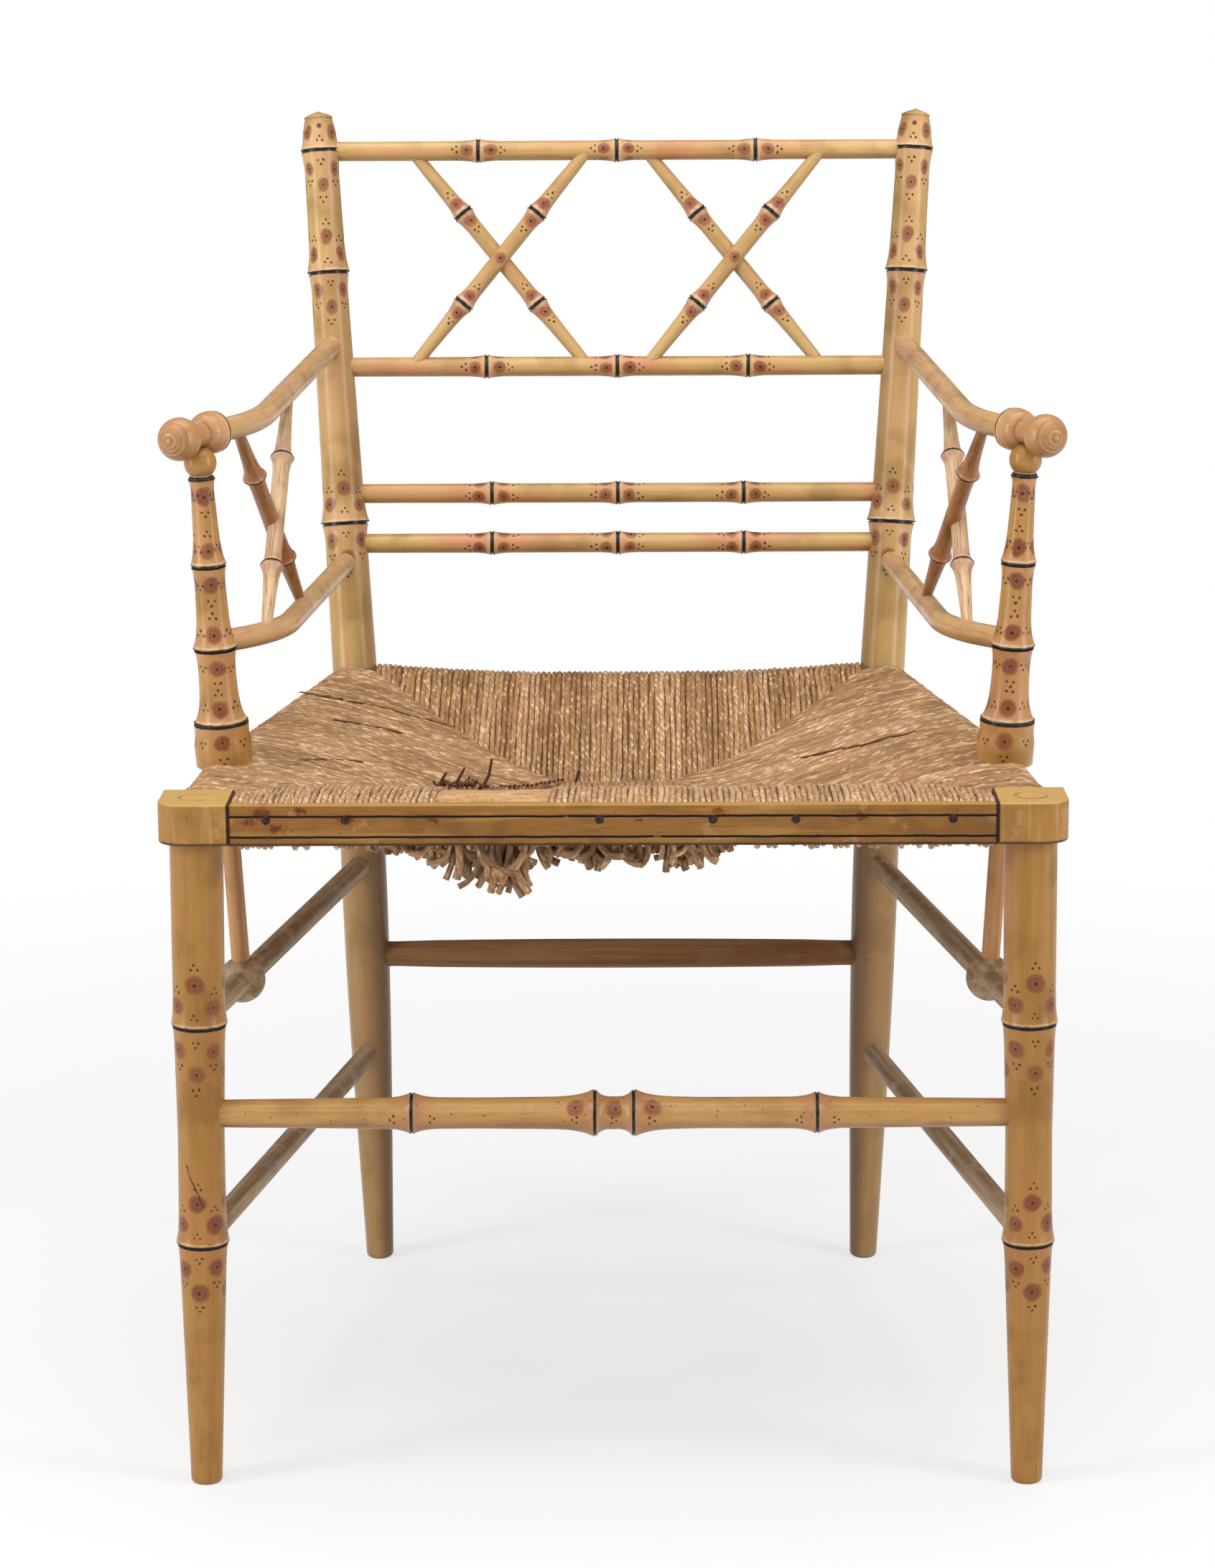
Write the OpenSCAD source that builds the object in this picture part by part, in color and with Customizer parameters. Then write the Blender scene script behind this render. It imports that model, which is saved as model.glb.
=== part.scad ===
// Faux bamboo open armchair with a rush seat.
// Origin on the floor, under the middle of the chair. The front faces -Y.
// Right-hand pieces are drawn at +X and mirrored for the left-hand ones. All are
// drawn with the front legs on the X axis, and placed() then centres the chair.

/* [Overall size] */
// Height to the tops of the rear posts
chair_h = 850; // [820:5:880]
// Height of the centre lines of the seat rails
seat_z = 439; // [428:1:448]
// Half the spacing of the front legs at the corner blocks
front_half = 260; // [250:1:272]
// Outward splay of each front leg at the floor
front_splay = 4.5; // [0:0.5:9]
// Half the spacing of the rear posts at the floor
rear_foot_half = 182; // [174:1:190]
// Half the spacing of the rear posts at the seat
rear_seat_half = 190.5; // [184:0.5:197]
// Half the spacing of the rear posts at the top
rear_top_half = 216; // [208:1:224]
// Distance from the front legs to the rear posts at the seat
seat_depth = 423; // [408:1:438]
// How far the rear feet stand behind the seat
foot_rake = 21; // [10:1:30]
// How far the tops of the rear posts lean behind the seat
back_rake = 75; // [60:1:90]

/* [Rear posts] */
// Radius at the foot
rear_foot_r = 10; // [9:0.5:12]
// Radius at the thickest part of the leg
rear_leg_r = 16.6; // [15:0.1:18]
// Height of the thickest part of the leg
rear_leg_swell_z = 300; // [270:5:340]
// Radius at the bend by the seat
rear_knee_r = 15.9; // [15:0.1:17]
// Radius of the centre line of the bend
rear_bend_r = 250; // [150:10:300]
// Radius below the cap
rear_top_r = 11.6; // [11:0.1:13]
// Radius of the cap
cap_r = 10.2; // [9:0.1:11]
// Height of the domed cap
cap_h = 4.4; // [3:0.1:6]
// Height of the lowest painted ring above the seat rails
post_ring_1_up = 118; // [111:1:126]
// Height of the middle painted ring above the seat rails
post_ring_2_up = 296; // [276:1:316]

/* [Front legs] */
// Radius under the corner block
front_leg_r = 16.8; // [15.5:0.1:18]
// Radius at the waist between the two rings
front_waist_r = 14.8; // [13.5:0.1:16]
// Radius at the foot
front_foot_r = 10; // [9:0.5:12]
// Height of the upper ring
leg_ring_1 = 306; // [296:1:316]
// Height of the lower ring
leg_ring_2 = 162; // [150:1:175]
// Radius of the tenon that passes through the corner block
leg_tenon_r = 10; // [8:0.5:12]

/* [Back rails] */
// Distance of the crest rail below the tops of the rear posts
crest_drop = 28.5; // [24:0.5:50]
// Height of the rail under the lattice above the seat rails
lattice_up = 229.5; // [216:0.5:235]
// Height of the upper lumbar rail above the seat rails
lumbar_1_up = 139.5; // [133:0.5:151]
// Height of the lower lumbar rail above the seat rails
lumbar_2_up = 104; // [99:0.5:113]
// Radius of the back rails
rail_r = 6.9; // [6:0.1:7.5]
// Distance of the outer rings from the middle of the crest rail
crest_ring_x = 100; // [90:1:110]
// Distance of the outer rings from the middle of the lattice rail
lattice_ring_x = 94.5; // [85:0.5:105]
// Distance of the outer rings from the middle of each lumbar rail
lumbar_ring_x = 91; // [80:1:105]

/* [Back lattice] */
// Distance from the middle to the inner end of each spindle
lattice_inner_x = 21; // [18:1:26]
// Distance from the middle to the outer end of each spindle
lattice_outer_x = 148; // [138:1:152]
// Radius of a spindle at its middle
lattice_r = 5.6; // [5:0.1:6.3]
// Radius of a spindle at its ends
lattice_end_r = 4.2; // [3.8:0.1:4.8]
// Radius of the tenon at each end
lattice_tenon_r = 3.2; // [2.5:0.1:3.6]
// Share of the length from an end to its ring
lattice_ring_at = 0.29; // [0.24:0.01:0.34]

/* [Arms] */
// Height above the seat rails at which an arm meets its rear post
arm_up = 246; // [242:1:261]
// Radius of an arm
arm_r = 7.6; // [7:0.1:8.5]
// Radius of the bend of an arm
arm_bend_r = 200; // [150:10:240]
// Height of the handgrip above the seat rails
grip_up = 229; // [216:1:241]
// Angle by which the handgrips point outwards
grip_turn = 25; // [17:1:32]
// Distance from the handgrip's neck back to the corner of the arm's bend
grip_to_bend = 74; // [66:1:84]
// Radius of the handgrip's barrel and ball
grip_r = 13.8; // [12.6:0.1:14.6]
// Distance from the neck to the middle of the ball
grip_ball_at = 22; // [20:0.5:25]
// Distance from the neck to the rear rim of the barrel
grip_rim_at = 20.5; // [18:0.5:24]
// Radius of the handgrip's neck
grip_neck_r = 7.6; // [7:0.1:8.5]
// Radius of the tenon of the arm in the handgrip
arm_tenon_r = 4.5; // [3.5:0.1:5.5]

/* [Arm posts] */
// Distance of an arm post behind the front legs, at the upper side stretcher
bulge_y = 100; // [90:1:110]
// Distance of an arm post behind the front legs, at the seat rail
arm_post_seat_y = 93.5; // [86:0.5:100]
// Radius of the foot that stands on the seat
arm_post_foot_r = 18.4; // [16.8:0.1:19]
// Radius of the stick that runs down through the seat
arm_stick_r = 6; // [5:0.1:6.6]
// Radius of the ball under the handgrip
arm_ball_r = 10.4; // [9.6:0.1:11]
// Distance of the ball below the middle of the handgrip
arm_ball_drop = 17.5; // [16:0.5:20]
// Distance of the uppermost ring below the middle of the ball
arm_ring_1_drop = 9.5; // [8.5:0.1:9.7]
// Height of the ring above the lower side rail, over that at the rail
arm_ring_2_up = 54; // [44:0.5:64]
// Distance of the ring at the lower side rail below that rail
arm_ring_3_drop = 3.5; // [1:0.5:6]
// Height of the lowest ring over the foot
arm_ring_4_up = 29.8; // [22:0.1:38]

/* [Lower side rails] */
// Height above the seat rails at which a lower side rail meets its rear post
low_rail_up = 92; // [89:0.5:93]
// Height above the seat rails at which a lower side rail meets its arm post
low_rail_front_up = 95; // [93:0.5:98]
// Radius of a lower side rail
low_rail_r = 7.3; // [6.6:0.1:7.8]
// Angle by which its front end points outwards
low_rail_turn = 45; // [40:1:50]
// Distance from the arm post back to the corner of its bend
low_rail_to_bend = 55; // [52:1:62]
// Radius of its bend
low_rail_bend_r = 110; // [90:5:115]

/* [Side lattice] */
// Radius of a side spindle at its middle
side_spindle_r = 5.4; // [4.8:0.1:5.8]
// Radius of a side spindle at its ends
side_spindle_end_r = 3.3; // [2.8:0.1:3.6]
// Share of the length from an end to its ring
side_ring_at = 0.275; // [0.24:0.005:0.3]
// Place of the forward spindle on the arm, past the start of the bend
side_fore_top = 59; // [50:1:66]
// Place of the rearward spindle on the arm, before the start of the bend
side_back_top = 74; // [62:1:86]
// Place of the rearward spindle's foot, past the start of the lower rail's bend
side_fore_foot = 49; // [43:1:56]
// Place of the forward spindle's foot, before the start of the lower rail's bend
side_back_foot = 64; // [56:1:72]
// Sideways set of each spindle of a crossing pair
side_lap = 1.8; // [1.4:0.1:2.4]

/* [Seat frame] */
// Width of a corner block
block_w = 45; // [42:1:48]
// Depth of a corner block
block_d = 48; // [45:1:51]
// Height of a corner block
block_h = 26; // [24:0.5:28]
// Radius of its rounded outer front corner
block_corner_r = 16; // [10:1:18]
// How far the blocks reach in front of the front legs
block_front = 23.5; // [20:0.5:25]
// Outward set of the side rails at the front legs
side_rail_set = 7.5; // [5:0.5:10]
// Radius of the seat rails inside the rush
seat_rail_r = 9.4; // [8.5:0.1:10]
// Radius of the tenons of the seat rails
seat_tenon_r = 6; // [5:0.1:6.5]

/* [Rush seat] */
// Outer radius of the rush where it wraps round a rail
rush_r = 12.9; // [12.4:0.1:13.2]
// How far the rush has sagged at the middle seam
rush_sag = 44; // [34:1:48]
// Distance of the middle seam behind the front legs
seam_y = 255; // [240:1:270]
// Half the length of the middle seam
seam_half = 36; // [24:1:50]
// Thickness of the padded rush at the seam
rush_core = 19; // [14:1:22]

/* [Edge strips] */
// Thickness of the front strip
strip_t = 7; // [5.5:0.5:7.5]
// Thickness of the side strips
side_strip_t = 2.4; // [2:0.1:3.2]
// Height of the side strips
side_strip_h = 18; // [15:1:20]
// Distance of their tops below those of the corner blocks
side_strip_drop = 7; // [5:0.5:9]
// Depth of the two scored lines in the front strip
score_d = 0.7; // [0.4:0.1:1]
// Width of each scored line
score_w = 0.9; // [0.6:0.1:1.4]
// Radius of the nail heads
nail_head_r = 2.8; // [2:0.1:3.4]
// Radius of the nails
nail_r = 0.9; // [0.7:0.1:1.1]
// Length of the nails
nail_l = 21; // [18:1:23]

/* [Stretchers] */
// Height of the front stretcher
front_str_z = 247; // [237:1:257]
// Radius of the front stretcher
front_str_r = 10; // [9:0.1:10.8]
// Radius of its ends
front_str_end_r = 8.7; // [7.5:0.1:9.5]
// Distance of the inner rings from its middle
front_str_ring_in = 12.2; // [10:0.1:15]
// Distance of the outer rings from its middle
front_str_ring_out = 128; // [115:1:140]
// Height of the rear stretcher
rear_str_z = 238; // [228:1:250]
// Radius of the rear stretcher
rear_str_r = 10.8; // [9.6:0.1:11.6]
// Radius of its ends
rear_str_end_r = 9.2; // [8:0.1:9.6]
// Height of the upper side stretchers
side_str_1_z = 308; // [296:1:320]
// Radius of the upper side stretchers
side_str_1_r = 7.9; // [7:0.1:8.6]
// Radius of the ball that the arm post stands in
bulge_r = 15.2; // [13.6:0.1:16]
// Height of the lower side stretchers
side_str_2_z = 163; // [152:1:176]
// Radius of the lower side stretchers
side_str_2_r = 7.6; // [6.8:0.1:8.4]

/* [Fits] */
// Clearance round each tenon
fit = 0.1; // [0.05:0.01:0.2]
// Clearance at the end of each tenon
end_gap = 0.5; // [0.3:0.1:1]
// Clearance between the rush and what it touches
rush_gap = 0.3; // [0.2:0.05:0.5]

/* [Hidden] */
$fn = 64;

cream = "#d6ae6c";
straw = "#c99f58";
dusty = "#a98560";
rush_tan = "#b08a5c";
iron = "#3c3630";

// Shape of the painted rings
groove_w = 1.5;
groove_d = 0.9;

// Nails along the front strip, as shares of half its length
nail_at = [-0.901, -0.695, -0.034, 0.261, 0.476, 0.884];
// Front nail of each side strip behind its arm post, and the rear one as a share of the strip
side_nail_behind = 11;
side_nail_at = 0.75;

// Distance of the chair's middle behind the front legs
middle_y = (seat_depth + back_rake + cap_r - block_front) / 2;

// Levels that several pieces share
block_top = seat_z + block_h / 2;
block_bottom = seat_z - block_h / 2;
block_inner_x = front_half - block_w / 2;
block_outer_x = front_half + block_w / 2;
block_back_y = block_d - block_front;
strip_back_y = strip_t - block_front;
nail_x = [for (t = nail_at) t * block_inner_x];
side_nail_y = [arm_post_seat_y + side_nail_behind, block_back_y + (seat_depth - block_back_y) * side_nail_at];

// Heights that follow the seat and the tops of the posts
post_ring_1 = seat_z + post_ring_1_up;
post_ring_2 = seat_z + post_ring_2_up;
crest_z = chair_h - crest_drop;
lattice_z = seat_z + lattice_up;
lumbar_1_z = seat_z + lumbar_1_up;
lumbar_2_z = seat_z + lumbar_2_up;
arm_z = seat_z + arm_up;
grip_z = seat_z + grip_up;
low_rail_z = seat_z + low_rail_up;
low_rail_front_z = seat_z + low_rail_front_up;
arm_ball_z = grip_z - arm_ball_drop;
arm_ring_1 = arm_ball_z - arm_ring_1_drop;
arm_ring_3 = low_rail_front_z - arm_ring_3_drop;
arm_ring_2 = arm_ring_3 + arm_ring_2_up;

// Points on the centre lines of the right-hand posts
rear_foot = [rear_foot_half, seat_depth + foot_rake, 0];
rear_knee = [rear_seat_half, seat_depth, seat_z];
rear_top = [rear_top_half, seat_depth + back_rake, chair_h];
front_foot = [front_half + front_splay, 0, 0];
front_head = [front_half, 0, block_bottom];

function mix(a, b, t) = a + (b - a) * t;
function unit(v) = v / norm(v);
function flip(p) = [-p.x, p.y, p.z];
function rear_at(z) = z < seat_z
    ? mix(rear_foot, rear_knee, z / seat_z)
    : mix(rear_knee, rear_top, (z - seat_z) / (chair_h - seat_z));
function front_at(z) = mix(front_foot, front_head, z / block_bottom);

// Side rail of the seat, from the corner block to the rear post
side_front = [front_half + side_rail_set, 0, seat_z];
function seat_side_at(y) = mix(side_front, rear_knee, y / seat_depth);
side_dir = unit(rear_knee - side_front);
side_out = [side_dir.y, -side_dir.x, 0];

// The arm post stands in the stretcher's bulge and passes through the seat rail
function side_str_at(z, y) = let (a = front_at(z), b = rear_at(z)) mix(a, b, y / b.y);
bulge = side_str_at(side_str_1_z, bulge_y);
arm_post_seat = seat_side_at(arm_post_seat_y);
function arm_post_at(z) = mix(bulge, arm_post_seat, (z - bulge.z) / (arm_post_seat.z - bulge.z));
arm_post_dir = unit(arm_post_seat - bulge);
arm_foot_z = seat_z + rush_r + rush_gap;
arm_ring_4 = arm_foot_z + arm_ring_4_up;

// Paths of the bent pieces: start, corner of the bend, end, radius of the bend
neck = arm_post_at(grip_z);
grip_dir = [sin(grip_turn), -cos(grip_turn), 0];
arm_path = [rear_at(arm_z), neck - grip_to_bend * grip_dir, neck - grip_rim_at * grip_dir, arm_bend_r];
low_end = arm_post_at(low_rail_front_z);
low_dir = [sin(low_rail_turn), -cos(low_rail_turn), 0];
low_path = [rear_at(low_rail_z), low_end - low_rail_to_bend * low_dir, low_end, low_rail_bend_r];
post_path = [rear_foot, rear_knee, rear_top, rear_bend_r];

// Parts of a bent path
function path_in(p) = unit(p[1] - p[0]);
function path_out(p) = unit(p[2] - p[1]);
function path_angle(p) = acos(path_in(p) * path_out(p));
function path_trim(p) = p[3] * tan(path_angle(p) / 2);
function path_start(p) = p[1] - path_trim(p) * path_in(p);
function path_end(p) = p[1] + path_trim(p) * path_out(p);
function path_normal(p) = unit(path_out(p) - (path_out(p) * path_in(p)) * path_in(p));
function path_arc(p) = p[3] * path_angle(p) * PI / 180;
// Point at a distance s past the start of the bend, measured along the path
function path_at(p, s) = s < 0
    ? path_start(p) + s * path_in(p)
    : s > path_arc(p)
        ? path_end(p) + (s - path_arc(p)) * path_out(p)
        : let (a = s / p[3] * 180 / PI)
            path_start(p) + p[3] * ((1 - cos(a)) * path_normal(p) + sin(a) * path_in(p));

// Centres the chair on the origin
module placed() {
    translate([0, -middle_y, 0]) children();
}

// A right-hand piece as its left-hand twin
module left_hand() {
    placed() mirror([1, 0, 0]) children();
}

// Places its children with their +Z along the line from a to b
module along(a, b) {
    d = b - a;
    translate(a) rotate([0, acos(d.z / norm(d)), atan2(d.y, d.x)]) children();
}

module bar(a, b, r) {
    along(a, b) cylinder(h = norm(b - a), r = r);
}

// A turned solid from pairs of height and radius
module turned(outline) {
    last = len(outline) - 1;
    rotate_extrude() polygon(concat(
        [[0, outline[0][0]]],
        [for (p = outline) [p[1], p[0]]],
        [[0, outline[last][0]]]));
}

// Outline of a painted bamboo ring at s on a body of radius r(s).
// The body swells by below and above towards the ring, over the given reaches.
function ring(s, r, below, above, reach_below, reach_above) = concat(
    [for (k = [2.6, 1.5, 0.8, 0.35, 0.1]) let (d = groove_w / 2 + k * reach_below)
        [s - d, r(s - d) + below * exp(-k)]],
    [[s - groove_w / 2, r(s) + below],
     [s - groove_w / 4, r(s) + below - groove_d],
     [s + groove_w / 4, r(s) + below - groove_d],
     [s + groove_w / 2, r(s) + above]],
    [for (k = [0.1, 0.35, 0.8, 1.5, 2.6]) let (d = groove_w / 2 + k * reach_above)
        [s + d, r(s + d) + above * exp(-k)]]);

// Socket for a bar of radius r that runs from the axis point a towards b
module socket(a, b, r, inset, reach = 30) {
    u = unit(b - a);
    bar(a + (inset - end_gap) * u, a + reach * u, r + fit);
}

// The bend of a path, as a torus of radius r
module bend(p, r) {
    n = path_normal(p);
    t = path_in(p);
    o = path_start(p) + p[3] * n;
    z = cross(-n, t);
    multmatrix([
        [-n.x, t.x, z.x, o.x],
        [-n.y, t.y, z.y, o.y],
        [-n.z, t.z, z.z, o.z],
        [0, 0, 0, 1]])
        rotate_extrude(angle = path_angle(p)) translate([p[3], 0]) circle(r = r);
}

// A round rod along a bent path. Its straight parts reach a little way into the bend,
// which is a hair thicker, so that the three become one clean solid.
bend_lip = 0.03;
bend_reach = 1;

module bent_rod(p, r) {
    bar(p[0], path_start(p) + bend_reach * path_in(p), r);
    bend(p, r + bend_lip);
    bar(path_end(p) - bend_reach * path_out(p), p[2], r);
}

// Keeps what lies over, or under, a level
module over(z) {
    difference() {
        children();
        translate([-front_half - 100, -200, z - 100]) cube([2 * front_half + 200, seat_depth + 400, 100]);
    }
}

module under(z) {
    difference() {
        children();
        translate([-front_half - 100, -200, z]) cube([2 * front_half + 200, seat_depth + 400, 100]);
    }
}

// A block that fills one side of the plane through p with normal n
module half_space(p, n, size = 40) {
    along(p, p + n) translate([-size, -size, 0]) cube([2 * size, 2 * size, size]);
}

// Rear posts
post_lower_l = norm(path_start(post_path) - rear_foot);
post_upper_l = norm(rear_top - path_end(post_path));
function post_s(z) = norm(rear_at(z) - path_end(post_path));
function post_r(s) = mix(rear_knee_r, rear_top_r, s / post_upper_l);

// The bend of a post stands this little proud of the tapers that run into it
post_lip = 0.2;
// Turns the start of the leg's outline away from the cut under the foot
post_seam = 35;

module rear_post_body(extra = 0) {
    leg_s = rear_leg_swell_z;
    neck_s = post_upper_l - cap_h - 1;
    over(0) along(rear_foot, path_start(post_path)) rotate(post_seam) turned([
        [-5, rear_foot_r + extra],
        [leg_s * 0.4, mix(rear_foot_r, rear_leg_r, 0.5) + extra],
        [leg_s * 0.75, mix(rear_foot_r, rear_leg_r, 0.9) + extra],
        [leg_s, rear_leg_r + extra],
        [post_lower_l + bend_reach, rear_knee_r + extra]]);
    bend(post_path, rear_knee_r + post_lip + extra);
    outline = concat(
        [[-bend_reach, rear_knee_r]],
        ring(post_s(post_ring_1), function(s) post_r(s), 2, 3, 5, 8),
        ring(post_s(post_ring_2), function(s) post_r(s), 1.8, 2.7, 5, 8),
        ring(post_s(crest_z), function(s) post_r(s), 2.3, 2.5, 7, 5),
        [[neck_s, cap_r - 0.3], [neck_s, cap_r], [neck_s + 1, cap_r]],
        [for (a = [20 : 16 : 84]) [neck_s + 1 + cap_h * sin(a), cap_r * cos(a)]]);
    along(path_end(post_path), rear_top) turned([for (p = outline) [p[0], p[1] + extra]]);
}

// Insets from a post's centre line to the ends of the tenons in it
cross_inset = 5;
fore_inset = 3;
knee_inset = 8;

module rear_post() color(cream) difference() {
    rear_post_body();
    for (z = [crest_z, lattice_z, lumbar_1_z, lumbar_2_z])
        socket(rear_at(z), flip(rear_at(z)), rail_r, cross_inset);
    socket(arm_path[0], arm_path[1], arm_tenon_r, fore_inset);
    socket(low_path[0], low_path[1], low_tenon_r, fore_inset);
    socket(rear_knee, side_front, seat_tenon_r, fore_inset);
    socket(rear_knee, flip(rear_knee), seat_tenon_r, knee_inset);
    socket(rear_at(rear_str_z), flip(rear_at(rear_str_z)), rear_str_end_r, fore_inset);
    socket(rear_at(side_str_1_z), front_at(side_str_1_z), side_str_1_r, fore_inset);
    socket(rear_at(side_str_2_z), front_at(side_str_2_z), side_str_2_r, fore_inset);
}

// Back rails
function rail_mid(z) = [0, rear_at(z).y, z];

module back_rail_body(z, ring_x, extra = 0) {
    a = flip(rear_at(z));
    l = 2 * rear_at(z).x;
    r = function(s) rail_r;
    outline = concat(
        [[cross_inset, rail_r]],
        ring(l / 2 - ring_x, r, 1.9, 1.9, 5, 5),
        ring(l / 2, r, 1.9, 1.9, 5, 5),
        ring(l / 2 + ring_x, r, 1.9, 1.9, 5, 5),
        [[l - cross_inset, rail_r]]);
    along(a, rear_at(z)) turned([for (p = outline) [p[0], p[1] + extra]]);
}

module back_rail(z, ring_x) color(cream) back_rail_body(z, ring_x);

// Point where a lattice spindle's centre line meets that of a rail
function lattice_point(z, x) = [x, rear_at(z).y, z];
back_dir = unit(rear_top - rear_knee);
back_normal = unit(cross([1, 0, 0], [0, back_dir.y, back_dir.z]));
lattice_lap = 2.2;
lattice_inset = 1.5;

// Centre line of a spindle: the front one rises outwards, the rear one inwards,
// on the right-hand half of the back
function lattice_axis(front) =
    let (
        low = lattice_point(lattice_z, front ? lattice_inner_x : lattice_outer_x),
        top = lattice_point(crest_z, front ? lattice_outer_x : lattice_inner_x),
        set = (front ? 1 : -1) * lattice_lap * back_normal)
    [low + set, top + set];

module spindle(axis, r_mid, r_end, ring_at, below, above, inset, extra = 0) {
    l = norm(axis[1] - axis[0]);
    r = function(s) mix(r_end, r_mid, min(1, min(s, l - s) / (ring_at * l)));
    outline = concat(
        [[inset, r_end]],
        [for (k = [0.3, 0.6]) [k * ring_at * l, r(k * ring_at * l)]],
        ring(ring_at * l, r, below, above, 4.5, 4.5),
        ring((1 - ring_at) * l, r, below, above, 4.5, 4.5),
        [for (k = [0.6, 0.3]) [(1 - k * ring_at) * l, r((1 - k * ring_at) * l)]],
        [[l - inset, r_end]]);
    along(axis[0], axis[1]) turned([for (p = outline) [p[0], p[1] + extra]]);
}

// The two spindles of a crossing are notched into each other by half
module lattice_spindle(front) color(cream) {
    axis = lattice_axis(front);
    other = lattice_axis(!front);
    mid = (axis[0] + axis[1] + other[0] + other[1]) / 4;
    away = (front ? -1 : 1) * back_normal;
    u = unit(axis[1] - axis[0]);
    difference() {
        spindle(axis, lattice_r, lattice_end_r, lattice_ring_at, 2.3, 2.3, lattice_inset);
        intersection() {
            bar(other[0], other[1], lattice_r + fit);
            half_space(mid - fit / 2 * away, away);
        }
        back_rail_body(crest_z, crest_ring_x, fit);
        back_rail_body(lattice_z, lattice_ring_x, fit);
    }
    bar(axis[0] + lattice_inset * u, axis[0] + 12 * u, lattice_tenon_r);
    bar(axis[1] - lattice_inset * u, axis[1] - 12 * u, lattice_tenon_r);
}

// The left-hand crossing repeats the right-hand one
module left_crossing() {
    translate([-lattice_inner_x - lattice_outer_x, 0, 0]) children();
}

module lattice_sockets(top) {
    for (front = [true, false]) {
        axis = lattice_axis(front);
        a = top ? axis[1] : axis[0];
        b = top ? axis[0] : axis[1];
        socket(a, b, lattice_tenon_r, lattice_inset, 20);
    }
}

module socketed_rail(z, ring_x, top) color(cream) difference() {
    back_rail_body(z, ring_x);
    lattice_sockets(top);
    left_crossing() lattice_sockets(top);
}

// Arms
low_tenon_r = 4;
post_tenon_r = 3.6;

// Centre lines of the side spindles. The fore spindle's head is the forward one.
function side_line(fore) = fore
    ? [path_at(low_path, -side_back_foot), path_at(arm_path, side_fore_top)]
    : [path_at(low_path, side_fore_foot), path_at(arm_path, -side_back_top)];
side_normal = unit(cross(
    side_line(true)[1] - side_line(true)[0],
    side_line(false)[1] - side_line(false)[0]));
function side_axis(fore, inner) =
    let (
        outward = side_normal.x > 0 ? side_normal : -side_normal,
        set = (inner ? -1 : 1) * side_lap * outward)
    [side_line(fore)[0] + set, side_line(fore)[1] + set];
side_inset = 1.5;

module side_sockets(fore_inner, top) {
    for (fore = [true, false]) {
        axis = side_axis(fore, fore ? fore_inner : !fore_inner);
        a = top ? axis[1] : axis[0];
        b = top ? axis[0] : axis[1];
        socket(a, b, side_spindle_end_r, side_inset, 20);
    }
}

module arm(fore_inner) color(cream) {
    difference() {
        bent_rod(arm_path, arm_r);
        rear_post_body(fit);
        side_sockets(fore_inner, true);
    }
    u = path_in(arm_path);
    bar(arm_path[0] + fore_inset * u, arm_path[0] + 30 * u, arm_tenon_r);
    bar(arm_path[2] - 4 * grip_dir, arm_path[2] + (grip_rim_at - 8) * grip_dir, arm_tenon_r);
}

// Handgrip: a barrel, a neck and a ball with turned rings on its front
module grip_body(extra = 0) {
    ball_s = grip_rim_at + grip_ball_at;
    neck_a = asin(grip_neck_r / grip_r);
    outline = concat(
        [[0, grip_r - 1.4], [0.8, grip_r - 0.5], [2.3, grip_r - 0.4], [2.7, grip_r - 1],
         [3.3, grip_r - 1], [3.8, grip_r - 0.2]],
        [for (b = [0 : 15 : 90])
            [5 + (grip_rim_at - 8) * sin(b), mix(grip_neck_r, grip_r, cos(b))]],
        [for (a = [neck_a : (120 - neck_a) / 7 : 121])
            [ball_s - grip_r * cos(a), grip_r * sin(a)]],
        [for (a = [128 : 4 : 176]) let (r = grip_r - (a % 16 == 0 ? 0.5 : 0))
            [ball_s - r * cos(a), r * sin(a)]]);
    along(arm_path[2], arm_path[2] + grip_dir) turned([for (p = outline) [p[0], p[1] + extra]]);
}

module arm_grip() color(straw) difference() {
    grip_body();
    bar(arm_path[2] - grip_dir, arm_path[2] + (grip_rim_at - 8 + end_gap) * grip_dir,
        arm_tenon_r + fit);
    bar(neck - 20 * arm_post_dir, neck + (2 + end_gap) * arm_post_dir, post_tenon_r + fit);
}

// Arm posts
// The foot is square to the leaning stick, so its edge comes nearest to the rush
arm_foot_lift = arm_post_foot_r * sqrt(1 - arm_post_dir.z * arm_post_dir.z);
function arm_s(z) = (z - bulge.z) / arm_post_dir.z;

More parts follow.
